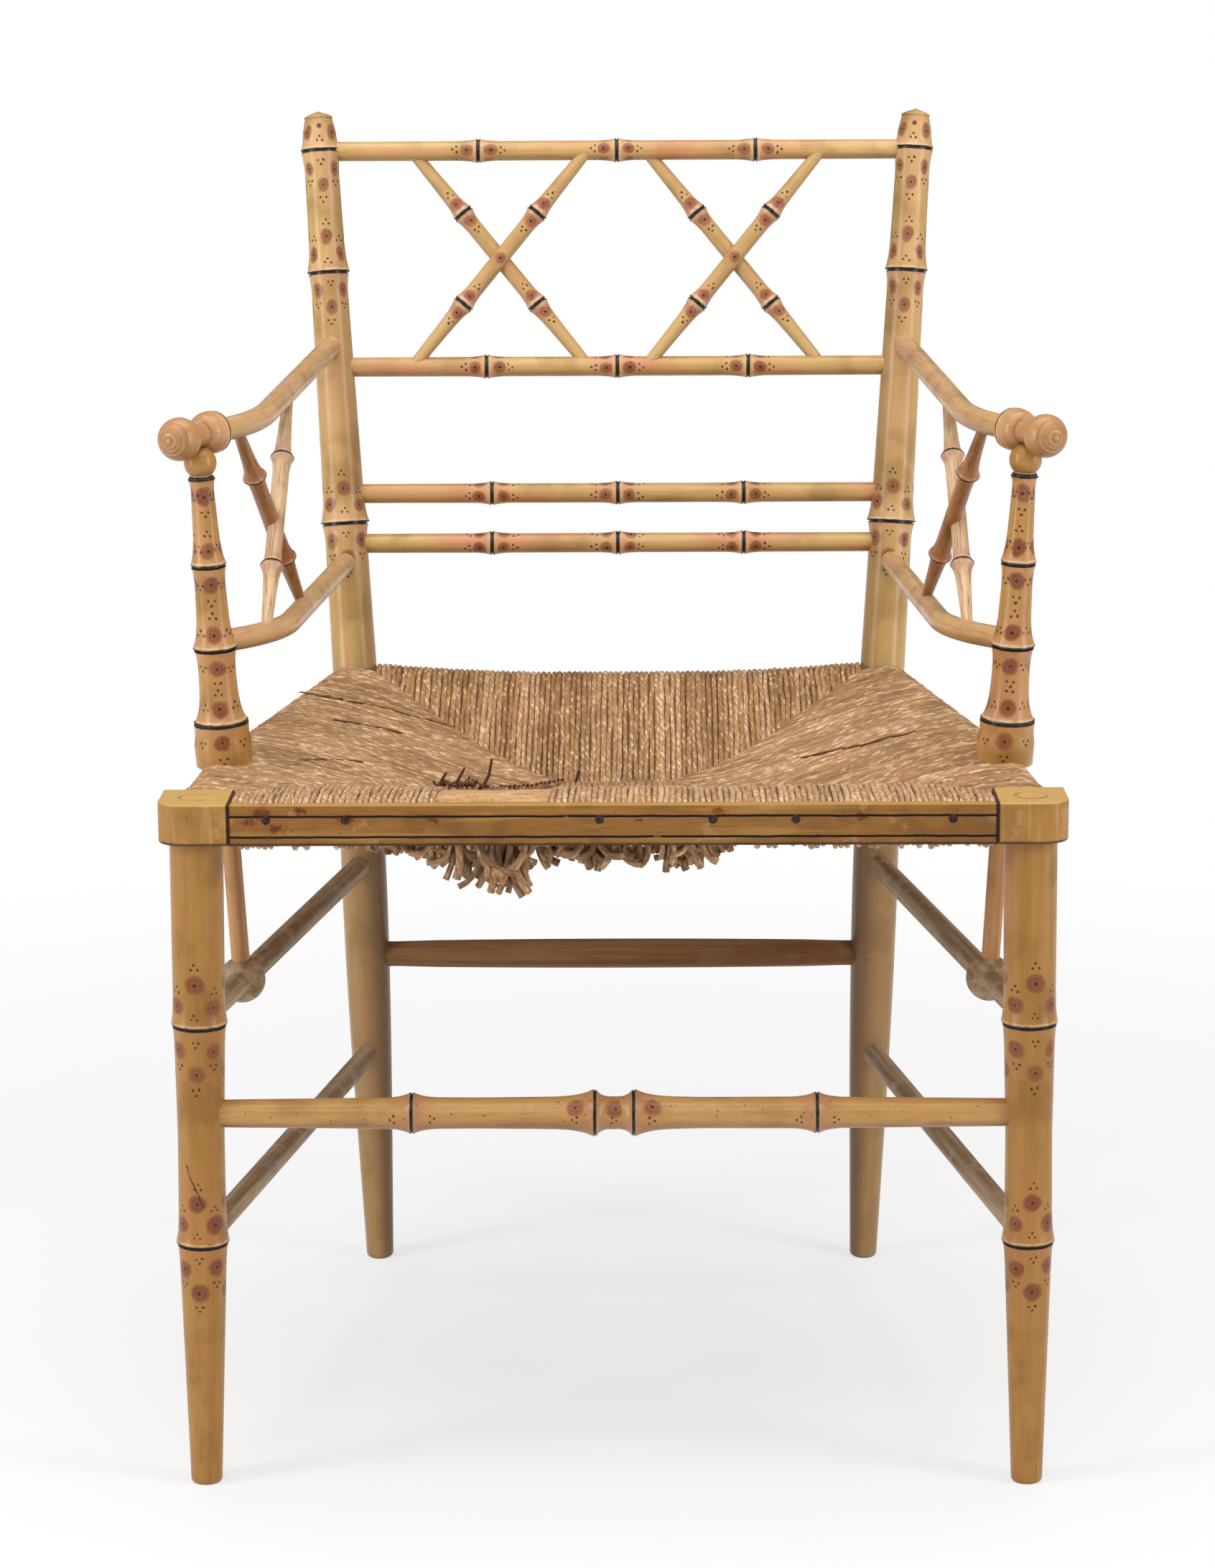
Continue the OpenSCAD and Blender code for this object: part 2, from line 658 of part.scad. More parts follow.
module arm_post_body(extra = 0) {
    s0 = arm_s(arm_foot_z) + arm_foot_lift;
    s4 = arm_s(arm_ring_4);
    s3 = arm_s(arm_ring_3);
    s2 = arm_s(arm_ring_2);
    s1 = arm_s(arm_ring_1);
    ball = arm_s(arm_ball_z);
    // Bare radius, without the swellings at the rings
    foot = arm_post_foot_r - 1;
    r = function(s) s <= s4 ? foot
        : s < s3 ? mix(12.6, 11.5, (s - s4) / (s3 - s4)) + (foot - 12.6) * exp((s4 - s) / 7)
        : s < s2 ? mix(10.8, 9.3, (s - s3) / (s2 - s3))
        : mix(8.8, 6.9, (s - s2) / (s1 - s2));
    neck_a = acos((ball - s1 - 2) / arm_ball_r);
    outline = concat(
        [[s0, arm_post_foot_r - 0.4], [mix(s0, s4, 0.5), arm_post_foot_r]],
        ring(s4, r, 0.3, 0.3, 3, 3),
        [for (d = [12, 18, 26]) [s4 + d, r(s4 + d)]],
        ring(s3, r, 2.3, 3.7, 5, 7),
        ring(s2, r, 2, 2.8, 5, 7),
        ring(s1, r, 2, 1, 3, 0.4),
        [for (a = [neck_a : (90 - neck_a) / 4 : 91]) [ball - arm_ball_r * cos(a), arm_ball_r * sin(a)]],
        [for (a = [105 : 15 : 165]) [ball - arm_ball_r * cos(a), arm_ball_r * sin(a)]]);
    along(bulge, bulge + arm_post_dir) turned([for (p = outline) [p[0], p[1] + extra]]);
}

module arm_stick(extra = 0) {
    bar(bulge + (stick_inset - extra) * arm_post_dir, arm_post_at(arm_foot_z + 8), arm_stick_r + extra);
}
stick_inset = 1;

module arm_post() color(cream) {
    difference() {
        arm_post_body();
        grip_body(fit);
        socket(low_path[2], low_path[1], low_tenon_r, low_inset);
    }
    arm_stick();
    bar(neck - 12 * arm_post_dir, neck + 2 * arm_post_dir, post_tenon_r);
}
low_inset = 2;

// Lower side rails
module lower_side_rail(fore_inner) color(cream) {
    difference() {
        bent_rod(low_path, low_rail_r);
        rear_post_body(fit);
        arm_post_body(fit);
        side_sockets(fore_inner, false);
    }
    u = path_in(low_path);
    bar(low_path[0] + fore_inset * u, low_path[0] + 30 * u, low_tenon_r);
    bar(low_path[2] - low_inset * low_dir, low_path[2] - 30 * low_dir, low_tenon_r);
}

// Point midway between two lines where they pass closest
function crossing(a, b) =
    let (
        u = unit(a[1] - a[0]),
        v = unit(b[1] - b[0]),
        w = b[0] - a[0],
        c = u * v,
        s = (w * u - (w * v) * c) / (1 - c * c),
        t = ((w * u) * c - w * v) / (1 - c * c))
    (a[0] + s * u + b[0] + t * v) / 2;

module side_spindle(fore, inner) color(dusty) {
    axis = side_axis(fore, inner);
    other = side_axis(!fore, !inner);
    mid = crossing(axis, other);
    away = unit((other[0] + other[1] - axis[0] - axis[1])
        * side_normal * side_normal);
    difference() {
        spindle(axis, side_spindle_r, side_spindle_end_r, side_ring_at,
            fore ? 1.1 : 2.8, fore ? 2.8 : 1.1, side_inset);
        intersection() {
            bar(other[0], other[1], side_spindle_r + fit);
            half_space(mid - fit / 2 * away, away);
        }
    }
}

// Front legs and corner blocks
module front_leg_body() {
    l = norm(front_head - front_foot);
    s1 = leg_ring_1;
    s2 = leg_ring_2;
    waist = (s1 + s2) / 2;
    r = function(s) s > s1 ? mix(16.3, front_leg_r, (s - s1) / (l - s1))
        : s > waist ? mix(front_waist_r, 16.2, (s - waist) / (s1 - waist))
        : s > s2 ? mix(15.2, front_waist_r, (s - s2) / (waist - s2))
        : mix(front_foot_r, 15.2, s / s2);
    outline = concat(
        [[-5, front_foot_r]],
        ring(s2, r, 1, 1.9, 4, 6),
        [[waist, front_waist_r]],
        ring(s1, r, 0.9, 1.7, 4, 6),
        [[l + 1, front_leg_r]]);
    along(front_foot, front_head) turned(outline);
}

module front_leg() color(cream) {
    u = unit(front_head - front_foot);
    difference() {
        over(0) under(block_bottom) front_leg_body();
        socket(front_at(front_str_z), flip(front_at(front_str_z)), front_str_end_r, cross_inset);
        socket(front_at(side_str_1_z), rear_at(side_str_1_z), side_str_1_r, fore_inset);
        socket(front_at(side_str_2_z), rear_at(side_str_2_z), side_str_2_r, fore_inset);
    }
    under(block_top) bar(front_head - 5 * u, front_head + (block_h + 1) * u, leg_tenon_r);
}

module block_outline(extra = 0) {
    x0 = block_inner_x - extra;
    y0 = -block_front - extra;
    w = block_w + 2 * extra;
    d = block_d + 2 * extra;
    r = block_corner_r;
    translate([x0, y0]) square([w - r, d]);
    translate([x0, y0 + r]) square([w, d - r]);
    translate([x0 + w - r, y0 + r]) circle(r = r);
}

front_rail_y = strip_back_y + rush_gap + rush_r;
front_tenon_x = front_half - leg_tenon_r - 2;

module corner_block() color(straw) {
    u = unit(front_head - front_foot);
    difference() {
        translate([0, 0, block_bottom]) linear_extrude(block_h) block_outline();
        bar(front_head - 10 * u, front_head + (block_h + 10) * u, leg_tenon_r + fit);
        bar([block_inner_x - 5, front_rail_y, seat_z],
            [front_tenon_x + end_gap, front_rail_y, seat_z], seat_tenon_r + fit);
        bar(seat_side_at(leg_tenon_r + 2 - end_gap), seat_side_at(block_back_y + 5),
            seat_tenon_r + fit);
    }
}

// The space of a rear post where the rush and the strips meet it
module knee_clear() {
    mid = path_at(post_path, path_arc(post_path) / 2);
    u = unit(path_in(post_path) + path_out(post_path));
    bar(mid - 30 * u, mid + 30 * u, rear_knee_r + rush_gap + 0.4);
}

// Seat rails
nail_z = seat_z + 3.5;
side_strip_top = block_top - side_strip_drop;
side_nail_up = side_strip_top - side_strip_h / 2 - seat_z;

module front_nails(extra = 0) {
    for (x = nail_x)
        bar([x, -block_front - 1, nail_z], [x, nail_l - block_front + extra, nail_z], nail_r + extra);
}

module side_nails(extra = 0) {
    for (y = side_nail_y) {
        p = seat_side_at(y) + [0, 0, side_nail_up];
        face = p + (rush_r + rush_gap + side_strip_t) * side_out;
        bar(face + 0.5 * side_out, face - (nail_l + extra) * side_out, nail_r + extra);
    }
}

module seat_front_rail() color(straw) difference() {
    union() {
        bar([-block_inner_x + fit, front_rail_y, seat_z],
            [block_inner_x - fit, front_rail_y, seat_z], seat_rail_r);
        bar([-front_tenon_x, front_rail_y, seat_z],
            [front_tenon_x, front_rail_y, seat_z], seat_tenon_r);
    }
    front_nails(fit);
}

module seat_back_rail() color(straw) {
    body_x = rear_seat_half - rear_knee_r - fit;
    tenon_x = rear_seat_half - knee_inset;
    bar([-body_x, seat_depth, seat_z], [body_x, seat_depth, seat_z], seat_rail_r);
    bar([-tenon_x, seat_depth, seat_z], [tenon_x, seat_depth, seat_z], seat_tenon_r);
}

module seat_side_rail() color(straw) difference() {
    union() {
        behind_blocks() bar(seat_side_at(block_back_y - 6),
            rear_knee - (rear_knee_r + fit) * side_dir, seat_rail_r);
        bar(seat_side_at(leg_tenon_r + 2), rear_knee - fore_inset * side_dir, seat_tenon_r);
    }
    arm_stick(fit);
    side_nails(fit);
}

// Keeps what lies behind the back faces of the corner blocks
module behind_blocks() {
    difference() {
        children();
        translate([-front_half - 100, block_back_y + fit - 100, seat_z - 100])
            cube([2 * front_half + 200, 100, 200]);
    }
}

// Rush seat: a sagging cushion of four panels that meet at a seam, rolled
// over the rails at its edges
rush_front_y = strip_back_y + rush_gap;
rush_back_y = seat_depth + rush_r;
roll_angles = [for (a = [8 : 16.4 : 91]) a];
roll = [for (a = roll_angles) rush_r * (1 - cos(a))];
across_steps = 16;
along_steps = 16;

function half_width(y) = seat_side_at(y).x + rush_r / side_dir.y;
function roll_height(d) = d >= rush_r ? rush_r : sqrt(rush_r * rush_r - (rush_r - d) * (rush_r - d));
// Positions from edge to edge of a span: dense over the rolls, even between them
function stations(a, b, steps) = concat(
    [for (d = roll) a + d],
    [for (k = [1 : steps - 1]) mix(a + rush_r, b - rush_r, k / steps)],
    [for (k = [len(roll) - 1 : -1 : 0]) b - roll[k]]);
function panel(x, y) = let (w = half_width(y) - rush_r) min(
    1,
    max(0, w - abs(x)) / (w - seam_half),
    max(0, y - rush_front_y - rush_r) / (seam_y - rush_front_y - rush_r),
    max(0, rush_back_y - rush_r - y) / (rush_back_y - rush_r - seam_y));
function sunk(x, y) = let (p = panel(x, y)) p * p * (3 - 2 * p);
function swell(x, y) = roll_height(half_width(y) - abs(x))
    * roll_height(min(y - rush_front_y, rush_back_y - y)) / rush_r;
function rush_top(x, y) = seat_z + swell(x, y) - rush_sag * sunk(x, y);
function rush_under(x, y) = seat_z - swell(x, y)
    - (rush_core + rush_sag - 2 * rush_r) * sunk(x, y);

module rush_cushion() {
    ys = stations(rush_front_y, rush_back_y, along_steps);
    rows = [for (y = ys) stations(-half_width(y), half_width(y), across_steps)];
    n = len(rows[0]);
    m = len(ys);
    points = [for (j = [0 : m - 1]) each concat(
        [for (x = rows[j]) [x, ys[j], rush_top(x, ys[j])]],
        [for (k = [n - 1 : -1 : 0]) [rows[j][k], ys[j], rush_under(rows[j][k], ys[j])]])];
    loop = 2 * n;
    skin = [for (j = [0 : m - 2]) for (k = [0 : loop - 1])
        let (a = j * loop + k, b = j * loop + (k + 1) % loop)
        each [[a, b, b + loop], [a, b + loop, a + loop]]];
    last = (m - 1) * loop;
    ends = [for (k = [0 : n - 2]) each [
        [k, loop - 2 - k, k + 1],
        [k, loop - 1 - k, loop - 2 - k],
        [last + k, last + k + 1, last + loop - 2 - k],
        [last + k, last + loop - 2 - k, last + loop - 1 - k]]];
    polyhedron(points, concat(skin, ends));
}

module rush_seat() color(rush_tan) difference() {
    rush_cushion();
    bar([-block_outer_x, front_rail_y, seat_z], [block_outer_x, front_rail_y, seat_z],
        seat_rail_r + rush_gap);
    bar(flip(rear_knee), rear_knee, seat_rail_r + rush_gap);
    front_nails(rush_gap);
    for (side = [0, 1]) mirror([side, 0, 0]) {
        bar(side_front, rear_knee, seat_rail_r + rush_gap);
        arm_stick(rush_gap);
        side_nails(rush_gap);
        translate([block_inner_x - rush_gap, -block_front - 10, seat_z - 50])
            cube([100, block_d + 10 + rush_gap, 100]);
        knee_clear();
        translate([rear_seat_half - 1, seat_depth, seat_z - 50]) cube([60, 60, 100]);
    }
}

// Strips nailed over the edges of the rush
module front_strip() color(straw) difference() {
    translate([-block_inner_x + fit, -block_front, block_bottom])
        cube([2 * (block_inner_x - fit), strip_t, block_h]);
    for (share = [0.28, 0.78])
        translate([-block_inner_x, -block_front - 1, block_top - share * block_h - score_w / 2])
            cube([2 * block_inner_x, score_d + 1, score_w]);
    front_nails(fit);
}

module side_strip() color(straw) difference() {
    z0 = side_strip_top - side_strip_h;
    a = seat_side_at(block_back_y - 8);
    l = norm(rear_knee - a);
    behind_blocks() multmatrix([
        [side_out.x, side_dir.x, 0, a.x],
        [side_out.y, side_dir.y, 0, a.y],
        [0, 0, 1, z0],
        [0, 0, 0, 1]])
        translate([rush_r + rush_gap, 0, 0]) cube([side_strip_t, l - 6, side_strip_h]);
    knee_clear();
    side_nails(fit);
}

module nail(p, u) {
    along(p + 0.7 * u, p - nail_l * u) rotate_extrude() polygon([
        [0, 0], [nail_head_r * 0.5, 0.1], [nail_head_r * 0.85, 0.4], [nail_head_r, 0.7],
        [nail_r, 0.7], [nail_r, nail_l - 2], [nail_r / 3, nail_l], [0, nail_l]]);
}

module strip_nails() color(iron) {
    for (x = nail_x) nail([x, -block_front, nail_z], [0, -1, 0]);
    for (side = [0, 1]) mirror([side, 0, 0]) for (y = side_nail_y) {
        p = seat_side_at(y) + [0, 0, side_nail_up];
        nail(p + (rush_r + rush_gap + side_strip_t) * side_out, side_out);
    }
}

// Stretchers
module front_stretcher() color(cream) {
    a = flip(front_at(front_str_z));
    l = 2 * front_at(front_str_z).x;
    r = function(s) mix(front_str_r, front_str_end_r, pow(2 * s / l - 1, 2));
    along(a, flip(a)) turned(concat(
        [[cross_inset, front_str_end_r], [24, front_str_end_r]],
        ring(l / 2 - front_str_ring_out, r, 3.7, 3.7, 6, 6),
        ring(l / 2 - front_str_ring_in, r, 5.2, 5, 9, 3),
        ring(l / 2 + front_str_ring_in, r, 5, 5.2, 3, 9),
        ring(l / 2 + front_str_ring_out, r, 3.7, 3.7, 6, 6),
        [[l - 24, front_str_end_r], [l - cross_inset, front_str_end_r]]));
}

module rear_stretcher() color(dusty) {
    a = flip(rear_at(rear_str_z));
    l = 2 * rear_at(rear_str_z).x;
    along(a, flip(a)) turned([
        [fore_inset, rear_str_end_r],
        [24, rear_str_end_r],
        for (k = [0.25, 0.5, 0.75]) [k * l, mix(rear_str_r, rear_str_end_r, pow(2 * k - 1, 2))],
        [l - 24, rear_str_end_r],
        [l - fore_inset, rear_str_end_r]]);
}

module upper_side_stretcher() color(dusty) {
    a = front_at(side_str_1_z);
    b = rear_at(side_str_1_z);
    l = norm(b - a);
    ball = norm(bulge - a);
    neck_a = asin(side_str_1_r / bulge_r);
    difference() {
        along(a, b) turned(concat(
            [[fore_inset, side_str_1_r]],
            [for (t = [neck_a : (180 - 2 * neck_a) / 12 : 180.1 - neck_a])
                [ball - bulge_r * cos(t), bulge_r * sin(t)]],
            [[l - fore_inset, side_str_1_r]]));
        bar(bulge + (stick_inset - end_gap) * arm_post_dir, bulge + 30 * arm_post_dir,
            arm_stick_r + fit);
    }
}

module lower_side_stretcher() color(dusty) {
    a = front_at(side_str_2_z);
    b = rear_at(side_str_2_z);
    u = unit(b - a);
    bar(a + fore_inset * u, b - fore_inset * u, side_str_2_r);
}

left_hand() rear_post();  // left_rear_post
placed() rear_post();  // right_rear_post
placed() socketed_rail(crest_z, crest_ring_x, true);  // crest_rail
placed() socketed_rail(lattice_z, lattice_ring_x, false);  // lattice_rail
placed() back_rail(lumbar_1_z, lumbar_ring_x);  // upper_lumbar_rail
placed() back_rail(lumbar_2_z, lumbar_ring_x);  // lower_lumbar_rail
placed() left_crossing() lattice_spindle(true);  // left_lattice_front_spindle
placed() left_crossing() lattice_spindle(false);  // left_lattice_rear_spindle
placed() lattice_spindle(true);  // right_lattice_front_spindle
placed() lattice_spindle(false);  // right_lattice_rear_spindle
left_hand() arm(false);  // left_arm
placed() arm(true);  // right_arm
left_hand() arm_grip();  // left_arm_grip
placed() arm_grip();  // right_arm_grip
left_hand() arm_post();  // left_arm_post
placed() arm_post();  // right_arm_post
left_hand() lower_side_rail(false);  // left_lower_side_rail
placed() lower_side_rail(true);  // right_lower_side_rail
left_hand() side_spindle(true, false);  // left_side_fore_spindle
left_hand() side_spindle(false, true);  // left_side_back_spindle
placed() side_spindle(true, true);  // right_side_fore_spindle
placed() side_spindle(false, false);  // right_side_back_spindle
left_hand() front_leg();  // left_front_leg
placed() front_leg();  // right_front_leg
left_hand() corner_block();  // left_corner_block
placed() corner_block();  // right_corner_block
placed() seat_front_rail();
placed() seat_back_rail();
left_hand() seat_side_rail();  // left_seat_rail
placed() seat_side_rail();  // right_seat_rail
placed() rush_seat();
placed() front_strip();
left_hand() side_strip();  // left_side_strip
placed() side_strip();  // right_side_strip
placed() strip_nails();
placed() front_stretcher();
placed() rear_stretcher();
left_hand() upper_side_stretcher();  // left_upper_side_stretcher
placed() upper_side_stretcher();  // right_upper_side_stretcher
left_hand() lower_side_stretcher();  // left_lower_side_stretcher
placed() lower_side_stretcher();  // right_lower_side_stretcher
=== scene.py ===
"""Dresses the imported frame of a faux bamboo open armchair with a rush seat.

Every stick is drawn again on the centre lines of the frame, with its painted rings, and carries
two sets of paint coordinates that its finish reads: the point attribute "stick" (across, across,
along) and the map "ring" (radius, distance to the nearest painted ring).
"""

import logging
import math
import random
from collections.abc import Callable, Sequence
from dataclasses import dataclass, field, replace
from enum import Enum
from functools import partialmethod

import bpy
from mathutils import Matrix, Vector, noise


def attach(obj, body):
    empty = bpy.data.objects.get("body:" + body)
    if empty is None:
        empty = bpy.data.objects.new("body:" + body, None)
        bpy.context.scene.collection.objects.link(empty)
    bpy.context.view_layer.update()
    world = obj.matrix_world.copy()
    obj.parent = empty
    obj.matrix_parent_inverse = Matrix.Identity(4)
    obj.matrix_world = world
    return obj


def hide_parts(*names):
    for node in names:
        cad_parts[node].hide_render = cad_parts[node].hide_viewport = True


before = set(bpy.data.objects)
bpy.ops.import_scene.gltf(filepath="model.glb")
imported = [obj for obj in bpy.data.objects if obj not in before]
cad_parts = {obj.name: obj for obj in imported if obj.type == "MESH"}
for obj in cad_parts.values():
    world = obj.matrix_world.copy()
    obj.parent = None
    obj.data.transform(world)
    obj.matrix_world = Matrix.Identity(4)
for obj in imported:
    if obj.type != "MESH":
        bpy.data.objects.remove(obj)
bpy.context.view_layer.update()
log = logging.getLogger("armchair")

MM = 0.001
UP = Vector((0.0, 0.0, 1.0))
FRONT = Vector((0.0, -1.0, 0.0))
GROOVE = 1.5 * MM
GROOVE_DEPTH = 0.9 * MM
SCORED_LINES = (444.72 * MM, 431.72 * MM)
CREST_Z = 821.5 * MM
LATTICE_Z = 668.5 * MM
SIDE_STRIP_T = 2.4 * MM
NO_RING = (10 * MM, 1.0)
MID_GREY = (0.5, 0.5, 0.5)
SLANT = Vector((0, -0.5, 1))

Colour = tuple[float, float, float, float]
Outline = list[tuple[float, float]]
Object = bpy.types.Object
Material = bpy.types.Material
NodeTree = bpy.types.NodeTree
Node = bpy.types.Node
Socket = bpy.types.NodeSocket
Outputs = bpy.types.NodeOutputs


def mix(a: float | Vector, b: float | Vector, t: float) -> float | Vector:
    """The value a share t of the way from a to b."""
    return a + (b - a) * t


def ease(share: float) -> float:
    """A share from 0 to 1 that starts and ends gently."""
    return share * share * (3 - 2 * share)


def add_object(name: str, data: bpy.types.ID) -> Object:
    """Makes an object of its data and links it to the scene."""
    made = bpy.data.objects.new(name, data)
    bpy.context.scene.collection.objects.link(made)
    return made


def paint(red: int, green: int, blue: int) -> Colour:
    """A colour given as it shows on a screen, from 0 to 255, as Blender's linear one."""
    def linear(level: int) -> float:
        share = level / 255
        return share / 12.92 if share <= 0.04045 else ((share + 0.055) / 1.055) ** 2.4
    return linear(red), linear(green), linear(blue), 1.0


class Side(Enum):
    """The two hands of the chair, as the sign of their X."""

    LEFT = -1
    RIGHT = 1

    @property
    def word(self) -> str:
        """The word that the frame's node names start with."""
        return self.name.lower()

    def of(self, point: Vector) -> Vector:
        """A right-hand point on this side."""
        return Vector((self.value * point.x, point.y, point.z))


class Slot(Enum):
    """The record's material slots."""

    PAINTED = "painted_wood"
    WORN = "worn_wood"
    RUSH = "rush"
    NAIL = "nail_iron"


@dataclass(frozen=True)
class Layout:
    """The sizes that several pieces share, in metres, with the front legs on the X axis."""

    chair_h: float = 850 * MM
    seat_z: float = 439 * MM
    front_half: float = 260 * MM
    front_splay: float = 4.5 * MM
    rear_foot_half: float = 182 * MM
    rear_seat_half: float = 190.5 * MM
    rear_top_half: float = 216 * MM
    seat_depth: float = 423 * MM
    foot_rake: float = 21 * MM
    back_rake: float = 75 * MM
    cap_r: float = 10.2 * MM
    rear_bend: float = 250 * MM
    block_w: float = 45 * MM
    block_d: float = 48 * MM
    block_h: float = 26 * MM
    block_front: float = 23.5 * MM
    side_rail_set: float = 7.5 * MM
    rush_r: float = 12.9 * MM
    rush_gap: float = 0.3 * MM
    bulge_y: float = 100 * MM
    bulge_z: float = 308 * MM
    arm_post_seat_y: float = 93.5 * MM
    grip_z: float = 668 * MM
    grip_turn: float = math.radians(25)

    @property
    def middle(self) -> Vector:
        """What is taken off each drawn point, so that the chair stands over the origin."""
        return Vector((0, (self.seat_depth + self.back_rake + self.cap_r - self.block_front) / 2, 0))

    @property
    def block_top(self) -> float:
        """Height of the tops of the corner blocks."""
        return self.seat_z + self.block_h / 2

    @property
    def block_bottom(self) -> float:
        """Height of the undersides of the corner blocks."""
        return self.seat_z - self.block_h / 2

    @property
    def block_inner_x(self) -> float:
        """Distance of the blocks' inner faces from the middle."""
        return self.front_half - self.block_w / 2

    @property
    def block_back_y(self) -> float:
        """Distance of the blocks' back faces behind the front legs."""
        return self.block_d - self.block_front

    def rear_at(self, z: float) -> Vector:
        """The centre line of the right rear post at a height."""
        foot = Vector((self.rear_foot_half, self.seat_depth + self.foot_rake, 0))
        knee = Vector((self.rear_seat_half, self.seat_depth, self.seat_z))
        top = Vector((self.rear_top_half, self.seat_depth + self.back_rake, self.chair_h))
        if z < self.seat_z:
            return mix(foot, knee, z / self.seat_z)
        return mix(knee, top, (z - self.seat_z) / (self.chair_h - self.seat_z))

    def front_at(self, z: float) -> Vector:
        """The centre line of the right front leg at a height."""
        foot = Vector((self.front_half + self.front_splay, 0, 0))
        return mix(foot, Vector((self.front_half, 0, self.block_bottom)), z / self.block_bottom)

    def seat_side_at(self, y: float) -> Vector:
        """The centre line of the right seat rail at a distance behind the front legs."""
        start = Vector((self.front_half + self.side_rail_set, 0, self.seat_z))
        return mix(start, self.rear_at(self.seat_z), y / self.seat_depth)

    @property
    def seat_side_way(self) -> Vector:
        """The direction of the right seat rail."""
        return (self.rear_at(self.seat_z) - self.seat_side_at(0)).normalized()

    @property
    def bulge(self) -> Vector:
        """The middle of the ball on the right upper side stretcher."""
        a, b = self.front_at(self.bulge_z), self.rear_at(self.bulge_z)
        return mix(a, b, self.bulge_y / b.y)

    @property
    def arm_post_way(self) -> Vector:
        """The direction of the right arm post."""
        return (self.seat_side_at(self.arm_post_seat_y) - self.bulge).normalized()

    def arm_post_at(self, z: float) -> Vector:
        """The centre line of the right arm post at a height."""
        return self.bulge + self.arm_post_way * self.arm_post_s(z)

    def arm_post_s(self, z: float) -> float:
        """The distance of a height along the arm post, from the stretcher's ball."""
        return (z - self.bulge.z) / self.arm_post_way.z


LAYOUT = Layout()


@dataclass
class Path:
    """A centre line: two straight runs joined by a round bend, or one straight run."""

    start: Vector
    end: Vector
    corner: Vector | None = None
    bend: float = 0.0

    def __post_init__(self) -> None:
        """Measures the runs and the bend."""
        corner = self.corner if self.corner is not None else (self.start + self.end) / 2
        self.way_in = (corner - self.start).normalized()
        self.way_out = (self.end - corner).normalized()
        angle = self.way_in.angle(self.way_out) if self.bend else 0.0
        trim = self.bend * math.tan(angle / 2)
        self.first = (corner - self.start).length - trim
        self.arc = self.bend * angle
        self.length = self.first + self.arc + (self.end - corner).length - trim
        across = self.way_out - self.way_in * self.way_out.dot(self.way_in)
        self.across = across.normalized() if self.bend else across

    def at(self, s: float) -> tuple[Vector, Vector]:
        """The point and direction at a distance from the start.

        Args:
            s: Distance along the centre line. It may lie past either end.

        Returns:
            The point, and the unit direction there.
        """
        if s <= self.first or not self.bend:
            return self.start + self.way_in * s, self.way_in
        if s >= self.first + self.arc:
            return self.end - self.way_out * (self.length - s), self.way_out
        a = (s - self.first) / self.bend
        foot = self.start + self.way_in * self.first
        offset = self.across * (1 - math.cos(a)) + self.way_in * math.sin(a)
        return foot + offset * self.bend, self.way_in * math.cos(a) + self.across * math.sin(a)

    @classmethod
    def across_chair(cls, right: Vector) -> "Path":
        """The line to a right-hand point from its twin on the left."""
        return cls(Side.LEFT.of(right), right)

    def on(self, side: Side) -> "Path":
        """This right-hand line on the given side."""
        corner = side.of(self.corner) if self.corner is not None else None
        return Path(side.of(self.start), side.of(self.end), corner, self.bend)


@dataclass
class Stick:
    """A turned or bent stick: centre line, outline of (station, radius), rings and facing."""

    path: Path
    outline: Outline
    rings: Sequence[float] = ()
    face: Vector = field(default_factory=lambda: FRONT.copy())
    zero: float = 0.0
    turn: float = 0.0
    sides: int = 40
    row: float = 9 * MM
    floor: bool = False
    plain_from: float = 9.0

    def rows(self) -> Outline:
        """The outline with rows no further apart than the longest allowed."""
        dense = [self.outline[0]]
        for (s0, r0), (s1, r1) in zip(self.outline, self.outline[1:]):
            steps = max(1, math.ceil((s1 - s0) / self.row))
            dense += [(mix(s0, s1, k / steps), mix(r0, r1, k / steps)) for k in range(1, steps + 1)]
        return dense


